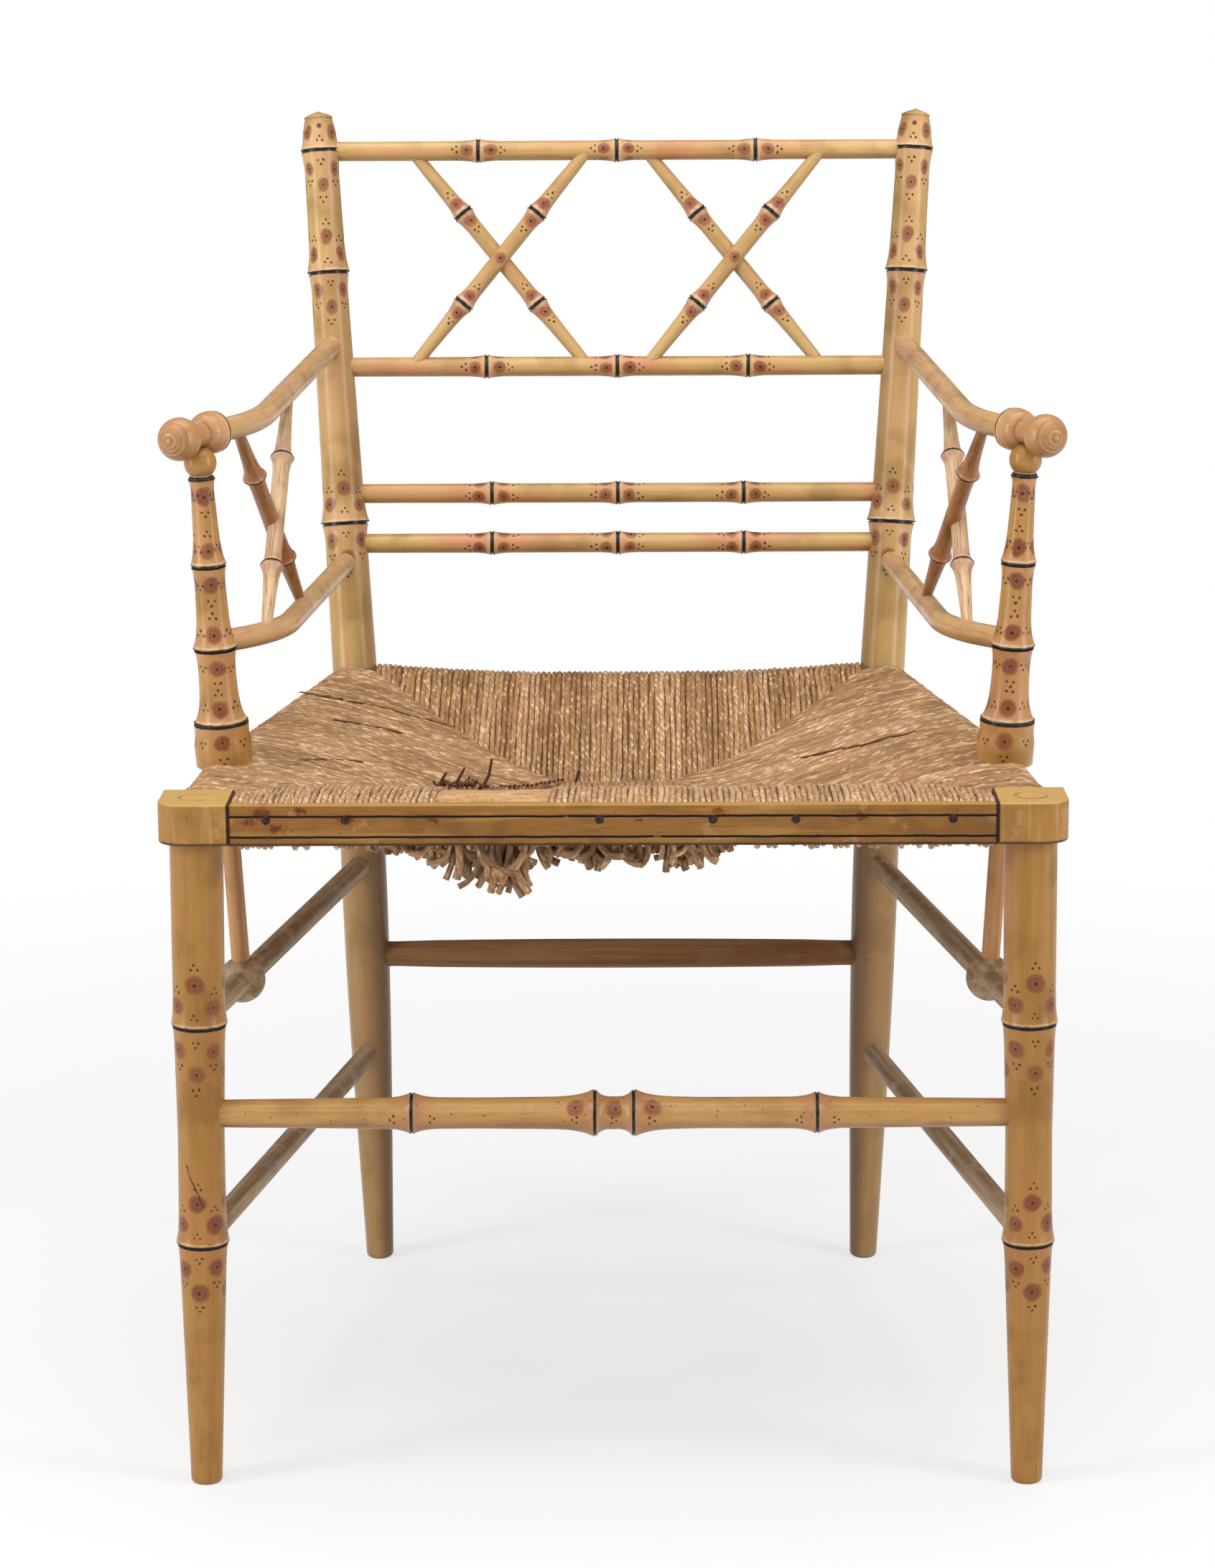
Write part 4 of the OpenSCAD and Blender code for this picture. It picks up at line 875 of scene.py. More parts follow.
@dataclass(frozen=True)
class BambooPaint(Finish):
    """Ochre paint with drawn rings, rosettes and triads, rubbed and varnished."""

    name: str
    ground: Colour = paint(186, 148, 88)
    light: Colour = paint(204, 170, 114)
    deep: Colour = paint(152, 116, 62)
    blush: Colour = paint(214, 162, 122)
    ridge: Colour = paint(206, 178, 138)
    line: Colour = paint(30, 24, 18)
    rosette: Colour = paint(134, 68, 46)
    rosette_worn: Colour = paint(144, 86, 56)
    dark: Colour = paint(56, 28, 16)
    bare: Colour = paint(146, 106, 72)
    shadow: Colour = paint(84, 54, 30)
    count: float = 4
    phase: float = 0.5
    far: float = 27 * MM
    near: float = 14.5 * MM
    far_size: float = 5.6 * MM
    near_size: float = 5.6 * MM
    far_triad: float = 9.5 * MM
    near_triad: float = 9.5 * MM
    ring_triad: float = 7 * MM
    squeeze: float = 1.0
    both_ridges: float = 0.0
    blush_reach: float = 14 * MM
    blush_share: float = 0.6
    wear: float = 0.12
    wear_share: float = 0.6
    centre: float = 0.0
    discs_within: float = 0.0
    brown_below: float = 0.0
    scratch: float = 0.0
    inner: float = 0.0
    streak: float = 0.35
    line_half: float = 1.4 * MM
    turned: bool = False
    fineness: float = 900.0
    ridge_reach: float = 2.5 * MM
    specks: float = 0.34
    speck_size: float = 0.42
    speck_gap: float = 5.5
    heart_at: float = 0.0
    narrow_above: float = 0.0
    mottle: float = 0.3
    gloss: float = 0.34
    coat: float = 0.4

    def marks(self, w: Wiring, stick: Socket, ring: Socket) -> list:
        """Masks of the rosettes and dots, and a slow tint."""
        x, y, z = w.parts(stick)
        squeeze = self.squeeze
        if self.narrow_above:
            squeeze = w.span(z, self.narrow_above, self.narrow_above + 50 * MM, self.squeeze, 1.4)
        disc, band, heart, dots, tint = w.group(
            Ornament().tree(), along=stick, ring=ring, count=self.count, phase=self.phase, far=self.far,
            near=self.near, far_size=self.far_size, near_size=self.near_size, far_triad=self.far_triad,
            near_triad=self.near_triad, ring_triad=self.ring_triad, squeeze=squeeze)
        found = [disc, band, heart]
        if self.centre:
            side = w.mul(w.math("ARCTAN2", y, x), w.parts(ring)[0])
            middle = w.group(Rosette().tree(), across=side, beyond=w.sub(z, self.heart_at), size=self.centre)
            found = [w.max(a, b) for a, b in zip(found, middle)]
        if self.discs_within:
            inside = w.math("LESS_THAN", w.abs(z), self.discs_within)
            found = [w.mul(value, inside) for value in found]
        return found + [dots, tint]

    def wire(self, w: Wiring, shader: Node) -> None:
        """Lays the coats of paint one over the other."""
        stick, ring, place = self.stick(w), self.ring(w), self.place(w)
        x, y, z = w.parts(stick)
        grain = stick
        if self.turned:
            grain = w.join(w.vector("LENGTH", w.join(x, y, 0.0)), z, 0.0)
        fine, broad, patch = w.group(Grain().tree(), along=grain, fineness=self.fineness)
        colour = w.coats(
            self.ground,
            (self.light, w.span(broad, 0.3, 0.75, 0.1, 0.75)),
            (self.deep, w.span(patch, 0.46, 0.68), 0.6),
            (self.deep, w.span(fine, 0.48, 0.72), self.streak))
        drift = w.noise(w.join(x, y, w.mul(z, 0.35)), 38.0, 2.0)
        colour = w.mix(w.span(drift, 0.46, 0.66, 0.0, self.mottle), colour, self.blush)
        # Browner and darker below this station, under the seat.
        if self.brown_below:
            under = w.span(z, self.brown_below - 40 * MM, self.brown_below, 0.55, 0.0)
            colour = w.mix(under, colour, self.bare)
        # Painted shade: the side of the post that faces the middle of the chair is mixed towards the shadow
        # colour, most below the seat.
        if self.inner:
            side = w.div(w.mul(y, self.inner), w.parts(ring)[0])
            share = w.span(z, LAYOUT.seat_z - 60 * MM, LAYOUT.seat_z, 0.75, 0.3)
            colour = w.mix(w.mul(w.span(side, -0.4, 0.9), share), colour, self.shadow)
        # Painted shade: faces that look down are mixed towards the shadow colour.
        colour = w.mix(w.span(w.up(), -0.1, -0.9, 0.0, 0.42), colour, self.shadow)
        line, ridge, blush = w.group(
            RingPaint().tree(), along=stick, ring=ring, both=self.both_ridges, reach=self.blush_reach,
            line=self.line_half, ridge=self.ridge_reach)
        colour = w.mix(w.mul(blush, self.blush_share), colour, self.blush)
        disc, band, heart, dots, tint = self.marks(w, stick, ring)
        daub = w.mix(w.span(tint, 0.42, 0.6), self.rosette, self.rosette_worn)
        specks = w.group(Specks().tree(), place=place, density=self.specks, spacing=self.speck_gap,
                         size=self.speck_size)[0]
        rubbed = w.group(Wear().tree(), place=w.join(x, y, w.mul(z, 0.3)), amount=self.wear)[0]
        colour = w.coats(
            colour,
            (daub, w.mul(disc, w.span(fine, 0.3, 0.7, 0.94, 0.7))),
            (self.dark, w.mul(disc, band), 0.22),
            (self.dark, heart, 0.9),
            (self.dark, dots, 0.94),
            (self.ridge, ridge, 0.75),
            (self.dark, specks, 0.6),
            (self.bare, rubbed, self.wear_share),
            (self.line, w.mul(line, w.span(fine, 0.25, 0.5, 0.85, 0.98))))
        if self.scratch:
            across = w.mul(w.math("ARCTAN2", y, x), w.parts(ring)[0])
            mark = w.group(Scratch().tree(), place=place, across=across, along=z, from_across=-8 * MM,
                           from_along=self.scratch)[0]
            colour = w.mix(w.mul(mark, 0.85), colour, self.dark)
        rough = w.span(fine, 0.3, 0.7, self.gloss - 0.05, self.gloss + 0.1)
        self.feed(w, shader, w.sub(w.mul(fine, 0.5), w.mul(rubbed, 0.4)), 0.14 * MM, {
            "Base Color": colour, "Roughness": w.add(rough, w.mul(rubbed, 0.2)),
            "Specular IOR Level": 0.15, "Coat Weight": self.coat, "Coat Roughness": 0.26})


@dataclass(frozen=True)
class BareStick(Finish):
    """Stained wood whose paint has mostly gone, dusty and streaked."""

    name: str
    ground: Colour = paint(124, 90, 64)
    light: Colour = paint(160, 128, 98)
    dust: Colour = paint(134, 112, 102)
    dark: Colour = paint(72, 48, 34)
    worn: float = 0.36

    def wire(self, w: Wiring, shader: Node) -> None:
        """Streaks, dust and dark rubs along the stick."""
        stick, place = self.stick(w), self.place(w)
        fine, broad, patch = w.group(Grain().tree(), along=stick, stretch=34.0)
        rubbed = w.group(Wear().tree(), place=place, amount=self.worn, scale=48.0)[0]
        specks = w.group(Specks().tree(), place=place, density=0.3, spacing=6.0)[0]
        colour = w.coats(
            self.ground,
            (self.light, w.span(broad, 0.36, 0.64)),
            (self.dust, w.span(patch, 0.48, 0.66), 0.5),
            (self.dark, w.span(fine, 0.52, 0.74), 0.5),
            (self.light, rubbed, 0.5),
            (self.dark, specks, 0.5))
        self.feed(w, shader, w.sub(fine, w.mul(rubbed, 0.4)), 0.2 * MM, {
            "Base Color": colour, "Roughness": w.span(fine, 0.3, 0.7, 0.46, 0.66),
            "Specular IOR Level": 0.2})


@dataclass(frozen=True)
class FramePaint(Finish):
    """Ochre paint on the flat-sided seat frame, stained, chipped and lined in black."""

    name: str
    ground: Colour = paint(164, 118, 60)
    light: Colour = paint(204, 166, 100)
    deep: Colour = paint(134, 92, 44)
    stain: Colour = paint(62, 28, 14)
    rust: Colour = paint(136, 80, 34)
    worn: Colour = paint(204, 164, 118)
    line: Colour = paint(30, 20, 12)
    lines: tuple[float, ...] = ()
    stains: tuple[tuple[float, float, float], ...] = ()
    tenon: bool = False
    joint: float = LAYOUT.block_inner_x

    def blots(self, w: Wiring, place: Socket) -> Socket:
        """Stains with ragged edges round the nails, each by its X, its height and its size."""
        x, _, z = w.parts(place)
        ragged = w.waver(place, 260.0, 6.0, 11 * MM, rough=0.7)
        found = w.group(Wear().tree(), place=place, amount=0.12, scale=70.0)[0]
        for at, level, size in self.stains:
            away = w.vector("LENGTH", w.join(w.mul(w.sub(x, at), 0.6), w.sub(z, level), 0.0))
            away = w.add(away, ragged)
            found = w.max(found, w.span(away, 0.1 * size, size, 1.0, 0.0))
        return found

    def wire(self, w: Wiring, shader: Node) -> None:
        """Brushed paint, a painted highlight on the faces that look up, stains and black lines."""
        stick, place = self.stick(w), self.place(w)
        fine, broad, patch = w.group(Grain().tree(), along=stick, stretch=16.0, fineness=800.0)
        rubbed = w.group(Wear().tree(), place=place, amount=0.42, scale=55.0)[0]
        specks = w.group(Specks().tree(), place=place, density=0.5, spacing=5.0, size=0.62)[0]
        blots, up = self.blots(w, place), w.up()
        colour = w.coats(
            self.ground,
            (self.deep, w.span(patch, 0.44, 0.66), 0.6),
            (self.deep, w.span(fine, 0.48, 0.7), 0.5),
            (self.light, w.span(broad, 0.52, 0.7), 0.35),
            # Painted highlight: faces that look up are made paler.
            (self.light, w.span(up, 0.3, 0.95), 0.75),
            (self.worn, rubbed, 0.18),
            (self.rust, w.span(blots, 0.02, 0.4, 0.0, 0.75)),
            (self.stain, w.span(blots, 0.45, 1.0, 0.0, 0.7)),
            (self.stain, specks, 0.65))
        x, y, z = w.parts(place)
        waver = w.waver(place, 60.0, 3.0, 1.1 * MM)
        kept = w.span(w.noise(place, 90.0, 2.0), 0.3, 0.36, 0.25, 1.0)
        for level in self.lines:
            away = w.abs(w.sub(w.add(z, waver), level))
            mark = w.span(away, 0.55 * MM, 0.95 * MM, 1.0, 0.0)
            colour = w.mix(w.mul(mark, kept), colour, self.line)
        aside = w.abs(w.sub(w.abs(x), self.joint))
        seam = w.span(w.add(aside, w.mul(waver, 0.5)), 0.9 * MM, 1.8 * MM, 1.0, 0.0)
        foot = LAYOUT.block_bottom
        below = w.span(w.add(z, waver), foot + 1.2 * MM, foot + 2.3 * MM, 0.8, 0.0)
        colour = w.mix(w.max(w.mul(seam, 0.9), below), colour, self.line)
        if self.tenon:
            middle = (LAYOUT.front_half, -LAYOUT.middle.y, 0.0)
            away = w.vector("LENGTH", w.vector("SUBTRACT", w.join(w.abs(x), y, 0.0), middle))
            round_it = w.abs(w.sub(away, 10 * MM))
            mark = w.mul(w.span(round_it, 0.3 * MM, 1.6 * MM, 0.5, 0.0), w.span(up, 0.8, 0.95))
            mark = w.mul(mark, w.span(w.noise(place, 50.0, 2.0), 0.46, 0.6))
            colour = w.mix(mark, colour, self.stain)
        self.feed(w, shader, w.sub(w.mul(fine, 0.6), w.mul(blots, 0.4)), 0.22 * MM, {
            "Base Color": colour, "Roughness": w.span(fine, 0.3, 0.7, 0.4, 0.56),
            "Specular IOR Level": 0.2, "Coat Weight": 0.12, "Coat Roughness": 0.22})


@dataclass(frozen=True)
class RushFibre(Finish):
    """Twisted rush, tan with pale flecks, darker where it is old and broken."""

    name: str = "Rush"
    ground: Colour = paint(176, 133, 88)
    pale: Colour = paint(236, 204, 162)
    deep: Colour = paint(118, 78, 48)
    old: Colour = paint(58, 30, 18)
    pale_and_lit: Colour = paint(214, 174, 136)

    def wire(self, w: Wiring, shader: Node) -> None:
        """Each strand's own tone, its twist and its flecks, with painted shade in the grooves of the twist
        and a painted highlight on its crests.
        """
        tone, age, bright = w.parts(w.attribute("tone"))
        lay, fibre, fleck = w.group(Strands().tree(), strand=w.attribute("strand"))
        patch = w.noise(self.place(w), 26.0, 4.0, 0.6)
        colour = w.coats(
            self.ground,
            (self.deep, w.span(tone, 0.0, 1.0, 0.0, 0.4)),
            (self.deep, w.span(patch, 0.42, 0.66, 0.0, 0.5)),
            # Brighter strands mix towards this paler colour; on the front panel this is partly a painted
            # highlight.
            (self.pale_and_lit, bright, 0.62),
            (self.deep, w.span(fibre, 0.48, 0.72, 0.0, 0.75)))
        level = w.sub(0.54, w.mul(bright, 0.07))
        # Pale flecks of the fibre, made strongest on the crests of the twist as a painted highlight.
        flecks_and_highlight = w.mul(w.span(fleck, level, w.add(level, 0.08)), w.span(lay, 0.0, 0.6, 0.45, 1.0))
        colour = w.coats(
            colour,
            (self.pale, w.mul(flecks_and_highlight, w.span(patch, 0.35, 0.6, 0.9, 0.5))),
            # Painted shade: the grooves of the twist are darkened.
            (self.deep, w.span(lay, 0.25, 0.0, 0.0, 0.3)),
            (self.old, age, 0.85))
        self.feed(w, shader, w.add(w.mul(lay, 0.7), w.mul(fibre, 0.3)), 0.5 * MM, {
            "Base Color": colour, "Roughness": w.span(fibre, 0.3, 0.7, 0.5, 0.72),
            "Specular IOR Level": 0.25})


@dataclass(frozen=True)
class SeatCore(Finish):
    """The packing under the strands, dark but for the bare straw where they have broken away."""

    name: str = "Seat packing"
    ground: Colour = paint(126, 90, 58)
    deep: Colour = paint(86, 58, 36)
    bare: Colour = paint(206, 160, 104)
    bare_deep: Colour = paint(170, 118, 72)
    bare_pale: Colour = paint(214, 172, 130)

    def wire(self, w: Wiring, shader: Node) -> None:
        """Fibres across the packing, and the smooth patch by its mask."""
        place = self.place(w)
        mask = w.parts(w.attribute("tone"))[2]
        fibres = w.noise(w.vector("MULTIPLY", place, (1.0, 0.2, 1.0)), 420.0, 4.0, 0.6)
        colour = w.mix(fibres, self.ground, self.deep)
        plank = w.noise(w.vector("MULTIPLY", place, (0.25, 1.0, 1.0)), 260.0, 4.0, 0.6)
        smooth = w.mix(w.span(plank, 0.42, 0.66), self.bare, self.bare_deep)
        blotch = w.noise(place, 70.0, 3.0, 0.6)
        smooth = w.coats(
            smooth,
            (self.bare_pale, w.span(blotch, 0.45, 0.66, 0.0, 0.7)),
            (self.deep, w.span(fibres, 0.52, 0.72, 0.0, 0.5)))
        colour = w.mix(w.span(mask, 0.35, 0.65), colour, smooth)
        self.feed(w, shader, fibres, 0.5 * MM, {
            "Base Color": colour, "Roughness": w.span(fibres, 0.3, 0.7, 0.6, 0.8)})


@dataclass(frozen=True)
class OldIron(Finish):
    """Dark rusted iron."""

    name: str = "Old iron"
    ground: Colour = paint(40, 30, 24)
    rust: Colour = paint(74, 44, 28)

    def wire(self, w: Wiring, shader: Node) -> None:
        """Rust in blotches."""
        place = self.place(w)
        rust = w.noise(place, 900.0, 4.0, 0.6)
        self.feed(w, shader, rust, 0.2 * MM, {
            "Base Color": w.mix(w.span(rust, 0.45, 0.65), self.ground, self.rust),
            "Metallic": w.span(rust, 0.45, 0.65, 0.7, 0.1),
            "Roughness": w.span(rust, 0.4, 0.7, 0.5, 0.8)})


PLAIN = {"far_size": 0.0, "near_size": 0.0, "far_triad": 0.0, "near_triad": 0.0, "ring_triad": 0.0}
SMALL = {"near_size": 0.0, "near_triad": 0.0, "ring_triad": 0.0, "both_ridges": 0.9}
POST_PAINT = BambooPaint(
    "Right rear post paint", far=25.5 * MM, near=13 * MM, far_size=6.1 * MM, near_size=5.7 * MM, squeeze=1.08,
    blush=paint(214, 160, 124), inner=-1.0, rosette=paint(142, 76, 58), rosette_worn=paint(138, 92, 64),
    brown_below=440 * MM, bare=paint(124, 86, 54), centre=2.2 * MM, heart_at=846.2 * MM,
    narrow_above=640 * MM)
POST_PAINT_LEFT = replace(POST_PAINT, name="Left rear post paint", inner=1.0)
LEG_PAINT = BambooPaint(
    "Front leg paint", ground=paint(154, 108, 46), light=paint(168, 124, 64), deep=paint(128, 86, 32),
    far=29.5 * MM, near=14.5 * MM, far_size=6.3 * MM, near_size=6.1 * MM, blush=paint(172, 112, 70),
    rosette=paint(122, 58, 38), rosette_worn=paint(132, 72, 44), ridge=paint(190, 158, 114),
    blush_reach=12 * MM, wear=0.16, coat=0.3)
LEG_PAINT_LEFT = replace(LEG_PAINT, name="Left front leg paint", scratch=217 * MM)
ARM_POST_PAINT = BambooPaint(
    "Arm post paint", ground=paint(170, 122, 58), light=paint(186, 140, 80), deep=paint(138, 94, 40),
    far=10.9 * MM, near=1 * MM, far_size=5.9 * MM, near_size=0.0, far_triad=10.2 * MM, near_triad=9.5 * MM,
    ring_triad=0.0, rosette=paint(126, 60, 42), rosette_worn=paint(140, 80, 52), blush=paint(200, 146, 110),
    blush_reach=12 * MM)
RAIL_PAINT = BambooPaint(
    "Back rail paint", far=8.6 * MM, far_size=4.8 * MM, far_triad=6.8 * MM, blush_reach=15 * MM,
    blush_share=0.85, blush=paint(198, 132, 96), ridge=paint(198, 172, 128), ridge_reach=3.2 * MM,
    mottle=0.75, **SMALL)
SPINDLE_PAINT = BambooPaint(
    "Spindle paint", count=3, far=7.4 * MM, far_size=5 * MM, far_triad=7.6 * MM, blush_reach=15 * MM,
    ground=paint(188, 150, 98), blush=paint(184, 116, 90), blush_share=0.9, rosette=paint(146, 74, 52),
    rosette_worn=paint(158, 92, 66), wear=0.0, specks=0.0, ridge=paint(198, 174, 134), ridge_reach=3.4 * MM,
    fineness=240.0, streak=0.3, **SMALL)
CROSSING_PAINT = replace(SPINDLE_PAINT, name="Front spindle paint", centre=4.6 * MM)
SIDE_CREAM = BambooPaint(
    "Pale side spindle paint", ground=paint(200, 162, 120), light=paint(220, 190, 152),
    deep=paint(120, 84, 58), blush=paint(176, 122, 102), both_ridges=0.4, streak=0.8, blush_reach=16 * MM,
    blush_share=0.7, wear=0.3, gloss=0.4, **PLAIN)
SIDE_BROWN = BambooPaint(
    "Brown side spindle paint", ground=paint(150, 102, 60), light=paint(178, 132, 88), deep=paint(88, 56, 34),
    blush=paint(152, 90, 60), ridge=paint(176, 134, 96), streak=0.8, both_ridges=0.4, blush_reach=16 * MM,
    blush_share=0.7, wear=0.4, gloss=0.4, **PLAIN)
STRETCHER_PAINT = BambooPaint(
    "Front stretcher paint", count=3, phase=0.36, far=12.2 * MM, near=1 * MM, far_size=6.2 * MM,
    near_size=0.0, far_triad=0.0, near_triad=9.7 * MM, ring_triad=0.0, both_ridges=1.0,
    ground=paint(176, 132, 72), light=paint(192, 150, 94), deep=paint(148, 106, 54),
    blush=paint(170, 112, 80), blush_share=0.85, ridge=paint(158, 124, 92), wear=0.4, specks=0.6,
    speck_size=0.75, speck_gap=4.2, streak=0.5, line_half=1 * MM, blush_reach=18 * MM, discs_within=70 * MM)
ARM_PAINT = BambooPaint(
    "Arm paint", ground=paint(184, 142, 88), light=paint(216, 182, 138), deep=paint(150, 108, 66),
    bare=paint(190, 144, 114), wear=0.5, gloss=0.34, streak=0.6, specks=0.5, **PLAIN)
GRIP_PAINT = BambooPaint(
    "Handgrip paint", ground=paint(172, 124, 76), light=paint(190, 146, 100), deep=paint(142, 94, 54),
    wear=0.4, wear_share=0.4, gloss=0.28, bare=paint(164, 132, 112), turned=True, streak=0.6,
    line_half=0.6 * MM, **PLAIN)
STAINED = BareStick(
    "Side stretcher wood", ground=paint(130, 102, 72), light=paint(174, 148, 118), dust=paint(140, 122, 104),
    dark=paint(80, 56, 38), worn=0.5)
POST_STICK = BareStick(
    "Arm post stick wood", ground=paint(168, 118, 74), light=paint(190, 142, 96), dust=paint(140, 98, 70),
    dark=paint(96, 60, 38))
STAINED_REAR = BareStick(
    "Rear stretcher wood", ground=paint(106, 70, 42), light=paint(132, 94, 60), dust=paint(116, 86, 62),
    dark=paint(72, 44, 26))
BLOCK_PAINT = FramePaint("Corner block paint", tenon=True)
STRIP_PAINT = FramePaint("Strip paint", ground=paint(138, 94, 42), light=paint(180, 140, 76),
                         deep=paint(108, 70, 30), lines=SCORED_LINES, stains=(
                             (-0.217, 0.4465, 0.0072), (-0.208, 0.4375, 0.0055), (-0.225, 0.441, 0.005),
                             (-0.192, 0.448, 0.0042), (-0.164, 0.443, 0.006), (-0.111, 0.4425, 0.0055),
                             (0.015, 0.4425, 0.0022), (0.066, 0.4475, 0.004), (0.154, 0.444, 0.0045)))
SIDE_STRIP_PAINT = FramePaint(
    "Side strip paint", ground=paint(112, 88, 52), light=paint(140, 112, 70), deep=paint(84, 62, 36),
    joint=9.0)


def dress(name: str, slot: Slot, node: str, *parts: tuple[Stick, Finish]) -> None:
    """Makes a piece of sticks and lets it stand for a node.

    Args:
        name: Name of the piece.
        slot: Handed on to install.
        node: The CAD node that it replaces.
        parts: Its sticks, each with its finish.
    """
    shell = Shell()
    for number, (stick, _) in enumerate(parts):
        shell.add_stick(stick, number)
    install(shell.piece(name, *(finish.material() for _, finish in parts)), slot, node)


@dataclass
class RearPosts:
    """The two rear posts, each a leg, a bend at the seat and a raking upper part."""

    foot_r: float = 10 * MM
    leg_r: float = 16.6 * MM
    swell_z: float = 300 * MM
    knee_r: float = 15.9 * MM
    top_r: float = 11.6 * MM
    cap_h: float = 4.3 * MM
    dome: tuple[tuple[float, float], ...] = (
        (0.12, 0.93), (0.34, 0.74), (0.56, 0.5), (0.74, 0.27), (0.9, 0.13), (1.0, 0.04))
    ring_heights: tuple[float, ...] = (557 * MM, 735 * MM, CREST_Z)
    swellings: tuple[tuple[float, ...], ...] = (
        (2 * MM, 3 * MM, 5 * MM, 8 * MM), (1.8 * MM, 2.7 * MM, 5 * MM, 8 * MM),
        (2.3 * MM, 2.5 * MM, 7 * MM, 5 * MM))

    def stick(self, side: Side) -> Stick:
        """The post on one side."""
        path = Path(LAYOUT.rear_at(0), LAYOUT.rear_at(LAYOUT.chair_h), LAYOUT.rear_at(LAYOUT.seat_z),
                    LAYOUT.rear_bend)
        bend_end = path.first + path.arc
        upper = path.length - bend_end

        def body(s: float) -> float:
            """Radius of the bare upper post."""
            return mix(self.knee_r, self.top_r, (s - bend_end) / upper)

        def leg(s: float) -> float:
            """Radius of the lower leg, fullest at the swell."""
            if s < self.swell_z:
                return mix(self.foot_r, self.leg_r, math.sin(math.pi / 2 * s / self.swell_z) ** 1.1)
            return mix(self.leg_r, self.knee_r, (s - self.swell_z) / (path.first - self.swell_z))

        outline = [(0.0, self.foot_r - 3 * MM), (0.4 * MM, self.foot_r - 1.6 * MM),
                   (1.4 * MM, self.foot_r - 0.5 * MM), (3 * MM, leg(3 * MM))]
        outline += [(s, leg(s)) for s in (path.first * k / 24 for k in range(1, 25))]
        outline += [(path.first + path.arc * k / 8, self.knee_r + 0.1 * MM) for k in range(1, 8)]
        rings = [bend_end + (LAYOUT.rear_at(z) - path.at(bend_end)[0]).length for z in self.ring_heights]
        for at, swelling in zip(rings, self.swellings):
            outline += ring_rows(at, body, *swelling)
        neck = path.length - self.cap_h - 1 * MM
        outline += [(neck, LAYOUT.cap_r - 0.5 * MM), (neck + 0.05 * MM, LAYOUT.cap_r),
                    (neck + 0.8 * MM, LAYOUT.cap_r)]
        outline += [(neck + 1 * MM + self.cap_h * h, LAYOUT.cap_r * r) for h, r in self.dome]
        return Stick(
            path.on(side), outline, rings, floor=True, turn=0.1 * side.value, plain_from=neck - 3 * MM)

    def build(self) -> None:
        """Makes and dresses both posts."""
        for side, finish in zip(Side, (POST_PAINT_LEFT, POST_PAINT)):
            dress(f"Rear_post_{side.word}", Slot.PAINTED, f"{side.word}_rear_post",
                  (self.stick(side), finish))


@dataclass
class FrontLegs:
    """The two turned front legs, with their tenons showing on top of the corner blocks."""

    top_r: float = 16.8 * MM
    waist_r: float = 14.8 * MM
    foot_r: float = 10 * MM
    over_ring_1_r: float = 16.3 * MM
    under_ring_1_r: float = 16.2 * MM
    at_ring_2_r: float = 15.2 * MM
    ring_1: float = 306 * MM
    ring_2: float = 162 * MM
    tenon_r: float = 10 * MM
    tenon_proud: float = 0.12 * MM

    def body(self, s: float) -> float:
        """Radius of the bare leg at a distance from the floor."""
        waist = (self.ring_1 + self.ring_2) / 2
        top = LAYOUT.block_bottom
        if s > self.ring_1:
            return mix(self.over_ring_1_r, self.top_r, (s - self.ring_1) / (top - self.ring_1))
        if s > waist:
            return mix(self.waist_r, self.under_ring_1_r, (s - waist) / (self.ring_1 - waist))
        if s > self.ring_2:
            return mix(self.at_ring_2_r, self.waist_r, (s - self.ring_2) / (waist - self.ring_2))
        return mix(self.foot_r, self.at_ring_2_r, s / self.ring_2)

    def run(self, first: int, last: int, step: int) -> Outline:
        """Rows of the bare leg, at stations in millimetres."""
        return [(s * MM, self.body(s * MM)) for s in range(first, last, step)]

    def build(self) -> None:
        """Makes and dresses both legs."""
        for side, finish, turn in zip(Side, (LEG_PAINT_LEFT, LEG_PAINT), (0.2, -0.3)):
            path = Path(LAYOUT.front_at(0), LAYOUT.front_at(LAYOUT.block_bottom)).on(side)
            outline = [(0.0, self.foot_r - 2 * MM), (0.5 * MM, self.foot_r - 0.8 * MM)]
            outline += self.run(2, 140, 12)
            outline += ring_rows(self.ring_2, self.body, 1 * MM, 1.9 * MM, 4 * MM, 6 * MM)
            outline += self.run(186, 292, 8)
            outline += ring_rows(self.ring_1, self.body, 0.9 * MM, 1.7 * MM, 4 * MM, 6 * MM)
            outline += self.run(330, 426, 12) + [(path.length, self.top_r)]
            leg = Stick(path, outline, (self.ring_2, self.ring_1), floor=True, turn=math.pi / 8 * turn)
            top = Path(side.of(LAYOUT.front_at(LAYOUT.block_bottom - 4 * MM)),
                       side.of(LAYOUT.front_at(LAYOUT.block_top + self.tenon_proud)))
            tenon = Stick(top, [(0.0, self.tenon_r), (top.length, self.tenon_r)])
            dress(f"Front_leg_{side.word}", Slot.PAINTED, f"{side.word}_front_leg",
                  (leg, finish), (tenon, BLOCK_PAINT))


